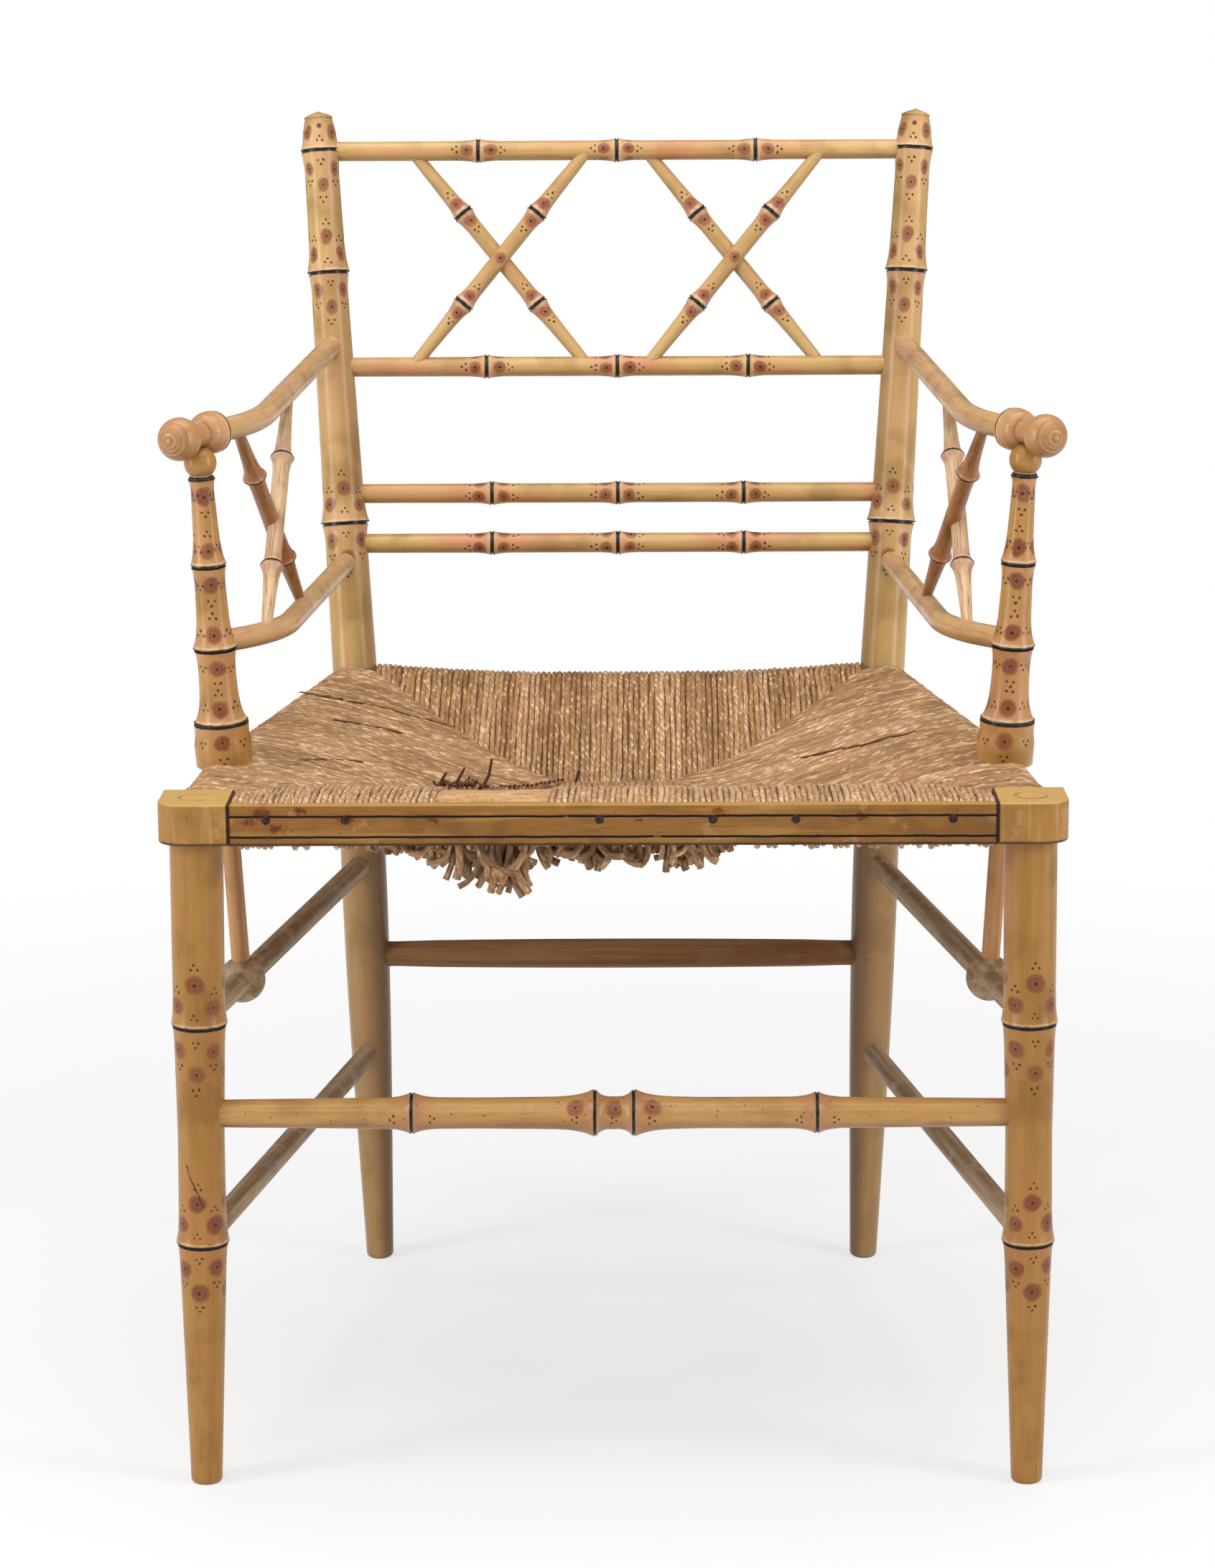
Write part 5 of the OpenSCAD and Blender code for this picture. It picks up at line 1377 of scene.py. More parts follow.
@dataclass
class BackRails:
    """Crest rail, lattice rail and the two lumbar rails, each with three painted rings."""

    rail_r: float = 6.9 * MM
    swell: float = 1.9 * MM
    reach: float = 5 * MM
    rails: tuple[tuple[str, float, float], ...] = (
        ("crest_rail", CREST_Z, 100 * MM), ("lattice_rail", LATTICE_Z, 94.5 * MM),
        ("upper_lumbar_rail", 578.5 * MM, 91 * MM), ("lower_lumbar_rail", 543 * MM, 91 * MM))

    def build(self) -> None:
        """Makes and dresses the rails."""
        for number, (node, z, ring_x) in enumerate(self.rails):
            path = Path.across_chair(LAYOUT.rear_at(z))
            middle = path.length / 2
            rings = [middle - ring_x, middle, middle + ring_x]
            outline = [(5 * MM, self.rail_r)]
            for at in rings:
                outline += ring_rows(at, lambda s: self.rail_r, *[self.swell] * 2, *[self.reach] * 2)
            outline += [(path.length - 5 * MM, self.rail_r)]
            rail = Stick(path, outline, rings, sides=36, turn=0.25 - 0.2 * number, zero=-number * 0.7)
            dress(node.capitalize(), Slot.PAINTED, node, (rail, RAIL_PAINT))


def spindle_stick(start: Vector, end: Vector, mid_r: float, end_r: float, ring_share: float,
                  below: float, above: float, inset: float, turn: float) -> Stick:
    """A spindle that swells to the middle, with a ring near each end.

    Args:
        start: Lower end of its centre line.
        end: Upper end.
        mid_r: Radius at the middle.
        end_r: Radius at the ends.
        ring_share: Share of the length from an end to its ring.
        below: Swelling under each ring.
        above: Swelling over it.
        inset: How far short of the centre line's ends the wood stops.
        turn: Turn of the painted pattern round the spindle.

    Returns:
        The stick, with the middle of its length as its station zero.
    """
    path = Path(start, end)
    length = path.length
    at = ring_share * length

    def body(s: float) -> float:
        """Radius of the bare spindle."""
        return mix(end_r, mid_r, min(1.0, min(s, length - s) / at))

    outline = [(inset, end_r)] + [(k * at, body(k * at)) for k in (0.3, 0.6)]
    for ring in (at, length - at):
        outline += ring_rows(ring, body, below, above, 4.5 * MM, 4.5 * MM)
    outline += [(length - k * at, body(k * at)) for k in (0.6, 0.3)] + [(length - inset, end_r)]
    return Stick(path, outline, (at, length - at), zero=length / 2, sides=32, turn=turn)


@dataclass
class BackLattice:
    """Two crossing pairs of spindles between the crest rail and the lattice rail."""

    inner_x: float = 21 * MM
    outer_x: float = 148 * MM
    lap: float = 2.2 * MM
    mid_r: float = 5.6 * MM
    end_r: float = 4.2 * MM
    ring_share: float = 0.29
    swell: float = 2.3 * MM

    def build(self) -> None:
        """Makes and dresses the four spindles."""
        low, top = LAYOUT.rear_at(LATTICE_Z), LAYOUT.rear_at(CREST_Z)
        normal = Vector((1, 0, 0)).cross(Vector((0, top.y - low.y, top.z - low.z))).normalized()
        for half, shift in (("right", 0.0), ("left", -self.inner_x - self.outer_x)):
            for word, finish, sign, turn in (("front", CROSSING_PAINT, 1, 0.1),
                                             ("rear", SPINDLE_PAINT, -1, -0.2)):
                low_x, top_x = (self.inner_x, self.outer_x)[::sign]
                lap = normal * (sign * self.lap)
                spindle = spindle_stick(
                    Vector((low_x + shift, low.y, LATTICE_Z)) + lap,
                    Vector((top_x + shift, top.y, CREST_Z)) + lap, self.mid_r, self.end_r, self.ring_share,
                    self.swell, self.swell, 1.5 * MM, turn)
                dress(f"Lattice_{half}_{word}", Slot.PAINTED, f"{half}_lattice_{word}_spindle",
                      (spindle, finish))


@dataclass
class Arms:
    """The bowed arms, their handgrips, arm posts, lower side rails and crossing spindles."""

    arm_z: float = 685 * MM
    arm_r: float = 7.6 * MM
    arm_bend: float = 200 * MM
    grip_to_bend: float = 74 * MM
    grip_r: float = 13.75 * MM
    ball_at: float = 22 * MM
    rim_at: float = 20.5 * MM
    neck_r: float = 7.6 * MM
    post_foot_r: float = 18.4 * MM
    post_ball_r: float = 10.4 * MM
    post_ball_z: float = 650.5 * MM
    post_rings: tuple[float, ...] = (641 * MM, 584.5 * MM, 530.5 * MM, 482 * MM)
    post_tapers: tuple[tuple[float, float], ...] = (
        (12.6 * MM, 11.5 * MM), (10.8 * MM, 9.3 * MM), (8.8 * MM, 6.9 * MM))
    stick_r: float = 6 * MM
    low_z: float = 531 * MM
    low_front_z: float = 534 * MM
    low_r: float = 7.3 * MM
    low_turn: float = math.radians(45)
    low_to_bend: float = 55 * MM
    low_bend: float = 110 * MM
    spindle_r: float = 5.4 * MM
    spindle_end_r: float = 3.3 * MM
    spindle_share: float = 0.275
    spindle_lap: float = 1.8 * MM
    fore_ends: tuple[float, float] = (-64 * MM, 59 * MM)
    back_ends: tuple[float, float] = (49 * MM, -74 * MM)

    @property
    def grip_way(self) -> Vector:
        """The direction in which the right handgrip points."""
        return Vector((math.sin(LAYOUT.grip_turn), -math.cos(LAYOUT.grip_turn), 0))

    @property
    def arm_path(self) -> Path:
        """The centre line of the right arm, from the rear post to the handgrip's rear rim."""
        neck = LAYOUT.arm_post_at(LAYOUT.grip_z)
        return Path(LAYOUT.rear_at(self.arm_z), neck - self.grip_way * self.rim_at,
                    neck - self.grip_way * self.grip_to_bend, self.arm_bend)

    @property
    def low_path(self) -> Path:
        """The centre line of the right lower side rail."""
        end = LAYOUT.arm_post_at(self.low_front_z)
        way = Vector((math.sin(self.low_turn), -math.cos(self.low_turn), 0))
        return Path(LAYOUT.rear_at(self.low_z), end, end - way * self.low_to_bend, self.low_bend)

    def rod(self, path: Path, radius: float, side: Side, start: float, end: float) -> Stick:
        """A bent rod of one radius between two stations."""
        return Stick(path.on(side), [(start, radius), (end, radius)], face=SLANT.copy(),
                     row=6 * MM, sides=36, zero=side.value * 0.9)

    def grip(self, side: Side) -> Stick:
        """The handgrip: a barrel, a neck and a ball with turned rings on its front."""
        start = self.arm_path.end
        ball = self.rim_at + self.ball_at
        neck_a = math.asin(self.neck_r / self.grip_r)
        barrel = self.rim_at - 8 * MM
        outline = [
            (0.0, self.grip_r - 1.4 * MM), (0.4 * MM, self.grip_r - 0.7 * MM),
            (0.9 * MM, self.grip_r - 0.4 * MM), (2.2 * MM, self.grip_r - 0.3 * MM),
            (2.6 * MM, self.grip_r - 0.9 * MM), (3.3 * MM, self.grip_r - 0.9 * MM),
            (3.8 * MM, self.grip_r - 0.2 * MM)]
        for k in range(13):
            b = math.pi / 2 * k / 12
            outline.append((5 * MM + barrel * math.sin(b), mix(self.neck_r, self.grip_r, math.cos(b))))
        for k in range(15):
            a = mix(neck_a, math.radians(120), k / 14)
            outline.append((ball - self.grip_r * math.cos(a), self.grip_r * math.sin(a)))
        for k in range(1, 29):
            a = math.radians(120 + 2 * k)
            r = self.grip_r - (0.45 * MM if k % 7 in (3, 4) else 0.0)
            outline.append((ball - r * math.cos(a), r * math.sin(a)))
        path = Path(start, start + self.grip_way * 60 * MM).on(side)
        return Stick(path, outline, (2.9 * MM,), face=SLANT.copy(), sides=48, plain_from=12 * MM)

    def post(self, side: Side) -> Stick:
        """The turned arm post above the seat."""
        ring_1, ring_2, ring_3, ring_4 = (LAYOUT.arm_post_s(z) for z in self.post_rings)
        foot_z = LAYOUT.seat_z + LAYOUT.rush_r + LAYOUT.rush_gap
        lift = self.post_foot_r * math.sqrt(1 - LAYOUT.arm_post_way.z ** 2)
        start = LAYOUT.arm_post_s(foot_z) + lift
        ball = LAYOUT.arm_post_s(self.post_ball_z)
        foot = self.post_foot_r - 1 * MM
        low, middle, high = self.post_tapers

        def body(s: float) -> float:
            """Radius of the bare post between its rings."""
            if s <= ring_4:
                return foot
            if s < ring_3:
                taper = mix(*low, (s - ring_4) / (ring_3 - ring_4))
                return taper + (foot - low[0]) * math.exp((ring_4 - s) / (7 * MM))
            if s < ring_2:
                return mix(*middle, (s - ring_3) / (ring_2 - ring_3))
            return mix(*high, (s - ring_2) / (ring_1 - ring_2))

        outline = [(start, self.post_foot_r - 0.9 * MM), (start + 0.5 * MM, self.post_foot_r - 0.3 * MM),
                   (mix(start, ring_4, 0.5), self.post_foot_r)]
        outline += ring_rows(ring_4, body, 0.3 * MM, 0.3 * MM, 3 * MM, 3 * MM)
        outline += [(ring_4 + d * MM, body(ring_4 + d * MM)) for d in (11, 14, 17, 21, 26)]
        outline += ring_rows(ring_3, body, 2.3 * MM, 3.7 * MM, 5 * MM, 7 * MM)
        outline += ring_rows(ring_2, body, 2 * MM, 2.8 * MM, 5 * MM, 7 * MM)
        outline += ring_rows(ring_1, body, 2 * MM, 1 * MM, 3 * MM, 0.4 * MM)
        neck_a = math.acos((ball - ring_1 - 2 * MM) / self.post_ball_r)
        for k in range(20):
            a = mix(neck_a, math.radians(165), k / 19)
            outline.append((ball - self.post_ball_r * math.cos(a), self.post_ball_r * math.sin(a)))
        path = Path(LAYOUT.bulge, LAYOUT.bulge + LAYOUT.arm_post_way * 400 * MM).on(side)
        return Stick(path, outline, (ring_4, ring_3, ring_2, ring_1), sides=44, turn=0.12 * side.value,
                     zero=side.value * 0.6, plain_from=ring_1 + 2.2 * MM)

    def spindle_lines(self) -> dict[str, tuple[Vector, Vector]]:
        """Centre lines of the right fore and back spindles before they are set apart."""
        arm, low = self.arm_path, self.low_path
        return {key: (low.at(low.first + low_end)[0], arm.at(arm.first + top_end)[0])
                for key, (low_end, top_end) in (("fore", self.fore_ends), ("back", self.back_ends))}

    def build_spindles(self, side: Side) -> None:
        """Makes the crossing pair on one side. The back spindle is in front on both sides."""
        lines = self.spindle_lines()
        ways = {key: end - start for key, (start, end) in lines.items()}
        outward = ways["fore"].cross(ways["back"]).normalized()
        if outward.x < 0:
            outward = -outward
        inner = "fore" if side is Side.RIGHT else "back"
        for key, (start, end) in lines.items():
            lap = outward * (-self.spindle_lap if key == inner else self.spindle_lap)
            below, above = (1.1 * MM, 2.8 * MM) if key == "fore" else (2.8 * MM, 1.1 * MM)
            finish, turn = (SIDE_BROWN, 0.4) if key == "fore" else (SIDE_CREAM, -0.3)
            spindle = spindle_stick(side.of(start + lap), side.of(end + lap), self.spindle_r,
                                    self.spindle_end_r, self.spindle_share, below, above, 1.5 * MM, turn)
            dress(f"Side_spindle_{side.word}_{key}", Slot.WORN, f"{side.word}_side_{key}_spindle",
                  (spindle, finish))

    def build(self) -> None:
        """Makes and dresses both arms."""
        arm, low = self.arm_path, self.low_path
        for side in Side:
            below = Path(side.of(LAYOUT.bulge), side.of(LAYOUT.arm_post_at(LAYOUT.seat_z + 20 * MM)))
            foot = Stick(below, [(1 * MM, self.stick_r), (below.length, self.stick_r)], sides=28)
            for piece, node, *parts in (
                    ("Arm", "arm",
                     (self.rod(arm, self.arm_r, side, 9 * MM, arm.length + 2 * MM), ARM_PAINT)),
                    ("Handgrip", "arm_grip", (self.grip(side), GRIP_PAINT)),
                    ("Arm_post", "arm_post", (self.post(side), ARM_POST_PAINT), (foot, POST_STICK)),
                    ("Lower_side_rail", "lower_side_rail",
                     (self.rod(low, self.low_r, side, 10 * MM, low.length - 3 * MM), ARM_PAINT))):
                dress(f"{piece}_{side.word}", Slot.PAINTED, f"{side.word}_{node}", *parts)
            self.build_spindles(side)


@dataclass
class Stretchers:
    """The front, rear and side stretchers."""

    front_z: float = 247 * MM
    front_r: float = 10 * MM
    front_end_r: float = 8.7 * MM
    ring_in: float = 12.2 * MM
    ring_out: float = 128 * MM
    rear_z: float = 238 * MM
    rear_r: float = 10.8 * MM
    rear_end_r: float = 9.2 * MM
    upper_r: float = 7.9 * MM
    bulge_r: float = 15.2 * MM
    lower_z: float = 163 * MM
    lower_r: float = 7.6 * MM

    def front(self) -> None:
        """Makes the front stretcher with its four rings."""
        path = Path.across_chair(LAYOUT.front_at(self.front_z))
        length, middle = path.length, path.length / 2

        def body(s: float) -> float:
            """Radius of the bare stretcher."""
            return mix(self.front_r, self.front_end_r, (2 * s / length - 1) ** 2)

        rings = [middle - self.ring_out, middle - self.ring_in, middle + self.ring_in, middle + self.ring_out]
        swellings = ((3.7, 3.7, 6, 6), (5.2, 5, 9, 3), (5, 5.2, 3, 9), (3.7, 3.7, 6, 6))
        outline = [(5 * MM, self.front_end_r), (24 * MM, body(24 * MM))]
        for at, swelling in zip(rings, swellings):
            outline += ring_rows(at, body, *(v * MM for v in swelling))
            if at in (rings[0], rings[2]):
                outline += [(at + gap, body(at + gap)) for gap in (40 * MM, 48 * MM)]
        outline = sorted(outline) + [(length - 24 * MM, body(24 * MM)), (length - 5 * MM, self.front_end_r)]
        dress("Front_stretcher", Slot.PAINTED, "front_stretcher",
              (Stick(path, outline, rings, turn=math.radians(33), zero=middle), STRETCHER_PAINT))

    def rear(self) -> None:
        """Makes the plain rear stretcher."""
        path = Path.across_chair(LAYOUT.rear_at(self.rear_z))
        length = path.length
        outline = [(3 * MM, self.rear_end_r), (24 * MM, self.rear_end_r)]
        for k in range(1, 12):
            share = mix(24 * MM / length, 1 - 24 * MM / length, k / 12)
            outline.append((share * length, mix(self.rear_r, self.rear_end_r, (2 * share - 1) ** 2)))
        outline += [(length - 24 * MM, self.rear_end_r), (length - 3 * MM, self.rear_end_r)]
        dress("Rear_stretcher", Slot.WORN, "rear_stretcher", (Stick(path, outline), STAINED_REAR))

    def sides(self, side: Side) -> None:
        """Makes the upper and lower side stretchers on one side."""
        start, end = LAYOUT.front_at(LAYOUT.bulge_z), LAYOUT.rear_at(LAYOUT.bulge_z)
        path = Path(start, end).on(side)
        ball = (LAYOUT.bulge - start).length
        neck = math.asin(self.upper_r / self.bulge_r)
        outline = [(3 * MM, self.upper_r)]
        for k in range(25):
            a = mix(neck, math.pi - neck, k / 24)
            outline.append((ball - self.bulge_r * math.cos(a), self.bulge_r * math.sin(a)))
        outline.append((path.length - 3 * MM, self.upper_r))
        upper = Stick(path, outline, face=UP.copy(), zero=side.value * 1.3)
        low = Path(LAYOUT.front_at(self.lower_z), LAYOUT.rear_at(self.lower_z)).on(side)
        lower = Stick(low, [(3 * MM, self.lower_r), (low.length - 3 * MM, self.lower_r)],
                      face=UP.copy(), zero=side.value * 2.1)
        for word, stick in (("Upper", upper), ("Lower", lower)):
            dress(f"{word}_side_stretcher_{side.word}", Slot.WORN,
                  f"{side.word}_{word.lower()}_side_stretcher", (stick, STAINED))

    def build(self) -> None:
        """Makes and dresses the stretchers."""
        self.front()
        self.rear()
        for side in Side:
            self.sides(side)


@dataclass
class SeatFrame:
    """Corner blocks, front strip, side strips and the rails inside the rush."""

    corner_r: float = 16 * MM
    strip_t: float = 7 * MM
    side_strip_t: float = SIDE_STRIP_T
    side_strip_h: float = 18 * MM
    side_strip_drop: float = 7 * MM
    score_w: float = 0.9 * MM
    score_d: float = 0.7 * MM
    lines: tuple[float, ...] = SCORED_LINES

    def block(self, side: Side) -> None:
        """Makes a corner block with its rounded outer front corner."""
        x0, x1 = LAYOUT.block_inner_x, LAYOUT.block_inner_x + LAYOUT.block_w
        y0, y1, z0 = -LAYOUT.block_front, LAYOUT.block_back_y, LAYOUT.block_bottom
        corners = [Vector((x0, y1, z0)), Vector((x0, y0, z0))]
        for k in range(13):
            a = math.pi / 2 * (k / 12 - 1)
            corners.append(Vector((x1 - self.corner_r + self.corner_r * math.cos(a),
                                   y0 + self.corner_r + self.corner_r * math.sin(a), z0)))
        corners.append(Vector((x1, y1, z0)))
        if side is Side.LEFT:
            corners = [side.of(c) for c in reversed(corners)]
        shell = Shell()
        shell.add_prism(corners, UP * LAYOUT.block_h)
        install(shell.piece(f"Corner_block_{side.word}", BLOCK_PAINT.material(), bevel=1.3 * MM),
                Slot.PAINTED, f"{side.word}_corner_block")

    def strip(self) -> None:
        """Makes the front strip with its two scored lines."""
        y0, y1 = -LAYOUT.block_front, self.strip_t - LAYOUT.block_front
        z0, z1 = LAYOUT.block_bottom, LAYOUT.block_top
        x0 = LAYOUT.block_inner_x - 0.1 * MM
        profile = [(y0 + 0.9 * MM, z0), (y1, z0), (y1, z1), (y0 + 1.1 * MM, z1),
                   (y0 + 0.4 * MM, z1 - 0.4 * MM), (y0, z1 - 1.1 * MM)]
        for level in self.lines:
            half = self.score_w / 2
            profile += [(y0, level + half), (y0 + self.score_d, level + half * 0.6),
                        (y0 + self.score_d, level - half * 0.6), (y0, level - half)]
        profile += [(y0, z0 + 0.9 * MM), (y0 + 0.3 * MM, z0 + 0.3 * MM)]
        corners = [Vector((-x0, y, z)) for y, z in profile]
        shell = Shell()
        shell.add_prism(corners, Vector((2 * x0, 0, 0)), steps=60)
        install(shell.piece("Front_strip", STRIP_PAINT.material(), sharp=50), Slot.PAINTED, "front_strip")

    def side_strip(self, side: Side) -> None:
        """Makes the strip along one side."""
        way = LAYOUT.seat_side_way
        out = Vector((way.y, -way.x, 0))
        start = LAYOUT.seat_side_at(LAYOUT.block_back_y + 2.5 * MM)
        length = (LAYOUT.rear_at(LAYOUT.seat_z) - start).length - 11 * MM
        z0 = LAYOUT.block_top - self.side_strip_drop - self.side_strip_h - LAYOUT.seat_z
        inner, outer = LAYOUT.rush_r + LAYOUT.rush_gap, LAYOUT.rush_r + LAYOUT.rush_gap + self.side_strip_t
        corners = [start + out * d + UP * (z0 + h) for d, h in
                   ((inner, 0.0), (inner, self.side_strip_h), (outer, self.side_strip_h), (outer, 0.0))]
        run = way * length
        if side is Side.LEFT:
            corners, run = [side.of(c) for c in reversed(corners)], side.of(run)
        shell = Shell()
        shell.add_prism(corners, run, steps=20)
        install(shell.piece(f"Side_strip_{side.word}", SIDE_STRIP_PAINT.material(), bevel=0.8 * MM),
                Slot.PAINTED, f"{side.word}_side_strip")

    def build(self) -> None:
        """Makes and dresses the seat frame. The rails inside the rush keep their own solids."""
        for side in Side:
            self.block(side)
            self.side_strip(side)
        self.strip()
        for node in ("seat_front_rail", "seat_back_rail", "left_seat_rail", "right_seat_rail"):
            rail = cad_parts[node]
            rail.data.materials.clear()
            rail.data.materials.append(SeatCore().material())


class Tree:
    """A Geometry Nodes tree with named inputs, and the modifier that runs it."""

    name = ""
    inputs: dict[str, tuple[str, object]] = {}

    def work(self, w: Wiring, given: Outputs) -> Socket:
        """Places the nodes and returns the geometry before it is realized."""
        raise NotImplementedError

    def tree(self) -> NodeTree:
        """The tree, built on its first use."""
        if self.name in bpy.data.node_groups:
            return bpy.data.node_groups[self.name]
        made = bpy.data.node_groups.new(self.name, "GeometryNodeTree")
        made.interface.new_socket("Geometry", in_out="INPUT", socket_type="NodeSocketGeometry")
        for name, (kind, start) in self.inputs.items():
            socket = made.interface.new_socket(name, in_out="INPUT", socket_type=f"NodeSocket{kind}")
            if start is not None:
                socket.default_value = start
        made.interface.new_socket("Finish", in_out="INPUT", socket_type="NodeSocketMaterial")
        made.interface.new_socket("Geometry", in_out="OUTPUT", socket_type="NodeSocketGeometry")
        w = Wiring(made)
        given = w.node("NodeGroupInput").outputs
        drawn = self.work(w, given)
        real = w.put("GeometryNodeRealizeInstances", {"Geometry": drawn})
        dressed = w.put(
            "GeometryNodeSetMaterial", {"Geometry": real["Geometry"], "Material": given["Finish"]})
        w.feed(w.node("NodeGroupOutput").inputs["Geometry"], dressed["Geometry"])
        return made

    def run(self, source: Object, name: str, finish: Material, **values: object) -> Object:
        """Runs the tree on an object and keeps the plain mesh that it makes.

        Args:
            source: The object that holds the guides. It is removed.
            name: Name of the new piece.
            finish: Its material.
            values: Values of the tree's inputs, by their names with _ for a space.

        Returns:
            The new piece, without a modifier.
        """
        tree = self.tree()
        modifier = source.modifiers.new(self.name, "NODES")
        modifier.node_group = tree
        keys = {item.name: item.identifier for item in tree.interface.items_tree
                if item.item_type == "SOCKET" and item.in_out == "INPUT"}
        for key, value in values.items():
            modifier[keys[key.replace("_", " ").title()]] = value
        modifier[keys["Finish"]] = finish
        evaluated = source.evaluated_get(bpy.context.evaluated_depsgraph_get())
        mesh = bpy.data.meshes.new_from_object(evaluated)
        mesh.name = name
        made = add_object(name, mesh)
        bpy.data.objects.remove(source)
        return made


class StrandTree(Tree):
    """Sweeps a round strand along each guide line, with its own coordinates."""

    name = "Strands along guides"
    inputs = {"Radius": ("Float", 1.85 * MM), "Sides": ("Int", 6), "Unevenness": ("Float", 0.16),
              "Seed": ("Int", 4)}

    @staticmethod
    def measure(w: Wiring, curve: Socket, name: str, output: str) -> Outputs:
        """Keeps one output of the spline's parameter on the points of a curve."""
        made = w.node("GeometryNodeCaptureAttribute")
        made.capture_items.new("FLOAT", name)
        spline = w.node("GeometryNodeSplineParameter").outputs
        return w.fill(made, {"Geometry": curve, name: spline[output]}).outputs

    def work(self, w: Wiring, given: Outputs) -> Socket:
        """Guides to curves, a varied girth, and the attribute that the finish reads."""
        curve = w.put("GeometryNodeMeshToCurve", {"Mesh": given["Geometry"]})
        along = self.measure(w, curve["Curve"], "Run", "Length")
        ring = w.put(
            "GeometryNodeCurvePrimitiveCircle", {"Resolution": given["Sides"], "Radius": given["Radius"]})
        turn = self.measure(w, ring["Curve"], "Turn", "Factor")
        rough = w.put("ShaderNodeTexNoise", {"W": given["Seed"], "Scale": 130.0}, noise_dimensions="4D")
        uneven = w.mul(w.sub(rough[0], 0.5), given["Unevenness"])
        sweep = w.put("GeometryNodeCurveToMesh", {
            "Curve": along["Geometry"], "Profile Curve": turn["Geometry"], "Fill Caps": True,
            "Scale": w.mul(w.named("girth", "FLOAT"), w.add(1.0, uneven))})
        angle = w.mul(turn["Turn"], 2 * math.pi)
        start = w.mul(w.parts(w.named("tone"))[0], 0.7)
        own = w.join(w.math("COSINE", angle), w.math("SINE", angle), w.add(along["Run"], start))
        store = w.put("GeometryNodeStoreNamedAttribute", {
            "Geometry": sweep["Mesh"], "Name": "strand", "Value": own},
            data_type="FLOAT_VECTOR", domain="POINT")
        return w.put("GeometryNodeSetShadeSmooth", {"Geometry": store["Geometry"]})["Geometry"]


class NailTree(Tree):
    """Sets a hammered nail on each point, pointing along its attribute "way"."""

    name = "Nails on points"
    inputs = {"Head Radius": ("Float", 2.8 * MM), "Head Height": ("Float", 0.6 * MM),
              "Shank Radius": ("Float", 0.9 * MM), "Shank Length": ("Float", 20 * MM),
              "Dents": ("Float", 0.12 * MM), "Seed": ("Int", 7)}

    def work(self, w: Wiring, given: Outputs) -> Socket:
        """A flattened dome with dents and a shank, instanced and turned."""
        radius, length = given["Head Radius"], given["Shank Length"]
        dome = w.put("GeometryNodeMeshUVSphere", {"Segments": 20, "Rings": 12, "Radius": radius})
        flat = w.put("GeometryNodeTransform", {
            "Geometry": dome["Mesh"], "Scale": w.join(1.0, 1.0, w.div(given["Head Height"], radius))})
        shank = w.put(
            "GeometryNodeMeshCylinder", {"Vertices": 12, "Radius": given["Shank Radius"], "Depth": length})
        sunk = w.put("GeometryNodeTransform", {
            "Geometry": shank["Mesh"], "Translation": w.join(0.0, 0.0, w.mul(length, -0.5))})
        both = w.node("GeometryNodeJoinGeometry")
        for half in (flat, sunk):
            w.feed(both.inputs["Geometry"], half["Geometry"])
        turn = w.put("FunctionNodeAlignRotationToVector", {"Vector": w.named("way")}, axis="Z")
        placed = w.put("GeometryNodeInstanceOnPoints", {
            "Points": given["Geometry"], "Instance": both.outputs["Geometry"], "Rotation": turn["Rotation"]})
        real = w.put("GeometryNodeRealizeInstances", {"Geometry": placed["Instances"]})
        rough = w.put("ShaderNodeTexNoise", {"W": given["Seed"], "Scale": 700.0}, noise_dimensions="4D")
        dent = w.vector("SCALE", w.vector("SUBTRACT", rough["Color"], MID_GREY), scale=given["Dents"])
        moved = w.put("GeometryNodeSetPosition", {"Geometry": real["Geometry"], "Offset": dent})
        return w.put("GeometryNodeSetShadeSmooth", {"Geometry": moved["Geometry"]})["Geometry"]


def guide_object(name: str, lines: Sequence[Sequence[Vector]], values: dict[str, list]) -> Object:
    """A mesh of open lines, or of loose points, with point attributes.

    Args:
        name: Name of the object.
        lines: The points of each line.
        values: Values for every point in order, by attribute name: numbers or vectors.

    Returns:
        The object, at the origin.
    """
    points = [p - LAYOUT.middle for line in lines for p in line]
    edges, base = [], 0
    for line in lines:
        edges += [(base + k, base + k + 1) for k in range(len(line) - 1)]
        base += len(line)
    mesh = bpy.data.meshes.new(name)
    mesh.from_pydata(points, edges, [])
    for key, given in values.items():
        if isinstance(given[0], float):
            mesh.attributes.new(key, "FLOAT", "POINT").data.foreach_set("value", given)
        else:
            flat = [c for v in given for c in v]
            mesh.attributes.new(key, "FLOAT_VECTOR", "POINT").data.foreach_set("vector", flat)
    return add_object(name, mesh)


@dataclass
class Nails:
    """The nails that hold the strips."""

    front_shares: tuple[float, ...] = (-0.901, -0.695, -0.034, 0.261, 0.476, 0.884)
    behind_post: float = 11 * MM
    side_share: float = 0.75
    level: float = 442.5 * MM
    side_level: float = 436 * MM

    def build(self) -> None:
        """Sets the nails out and runs their tree."""
        places, ways = [], []
        for share in self.front_shares:
            places.append([Vector((share * LAYOUT.block_inner_x, -LAYOUT.block_front, self.level))])
            ways.append(FRONT.copy())
        way = LAYOUT.seat_side_way
        out = Vector((way.y, -way.x, 0))
        span = LAYOUT.seat_depth - LAYOUT.block_back_y
        for y in (LAYOUT.arm_post_seat_y + self.behind_post, LAYOUT.block_back_y + span * self.side_share):
            for side in Side:
                face = LAYOUT.seat_side_at(y) + out * (LAYOUT.rush_r + LAYOUT.rush_gap + SIDE_STRIP_T)
                face.z = self.side_level
                places.append([side.of(face)])
                ways.append(side.of(out))
        guides = guide_object("Nail places", places, {"way": ways})
        install(NailTree().run(guides, "Strip_nails", OldIron().material()), Slot.NAIL, "strip_nails")


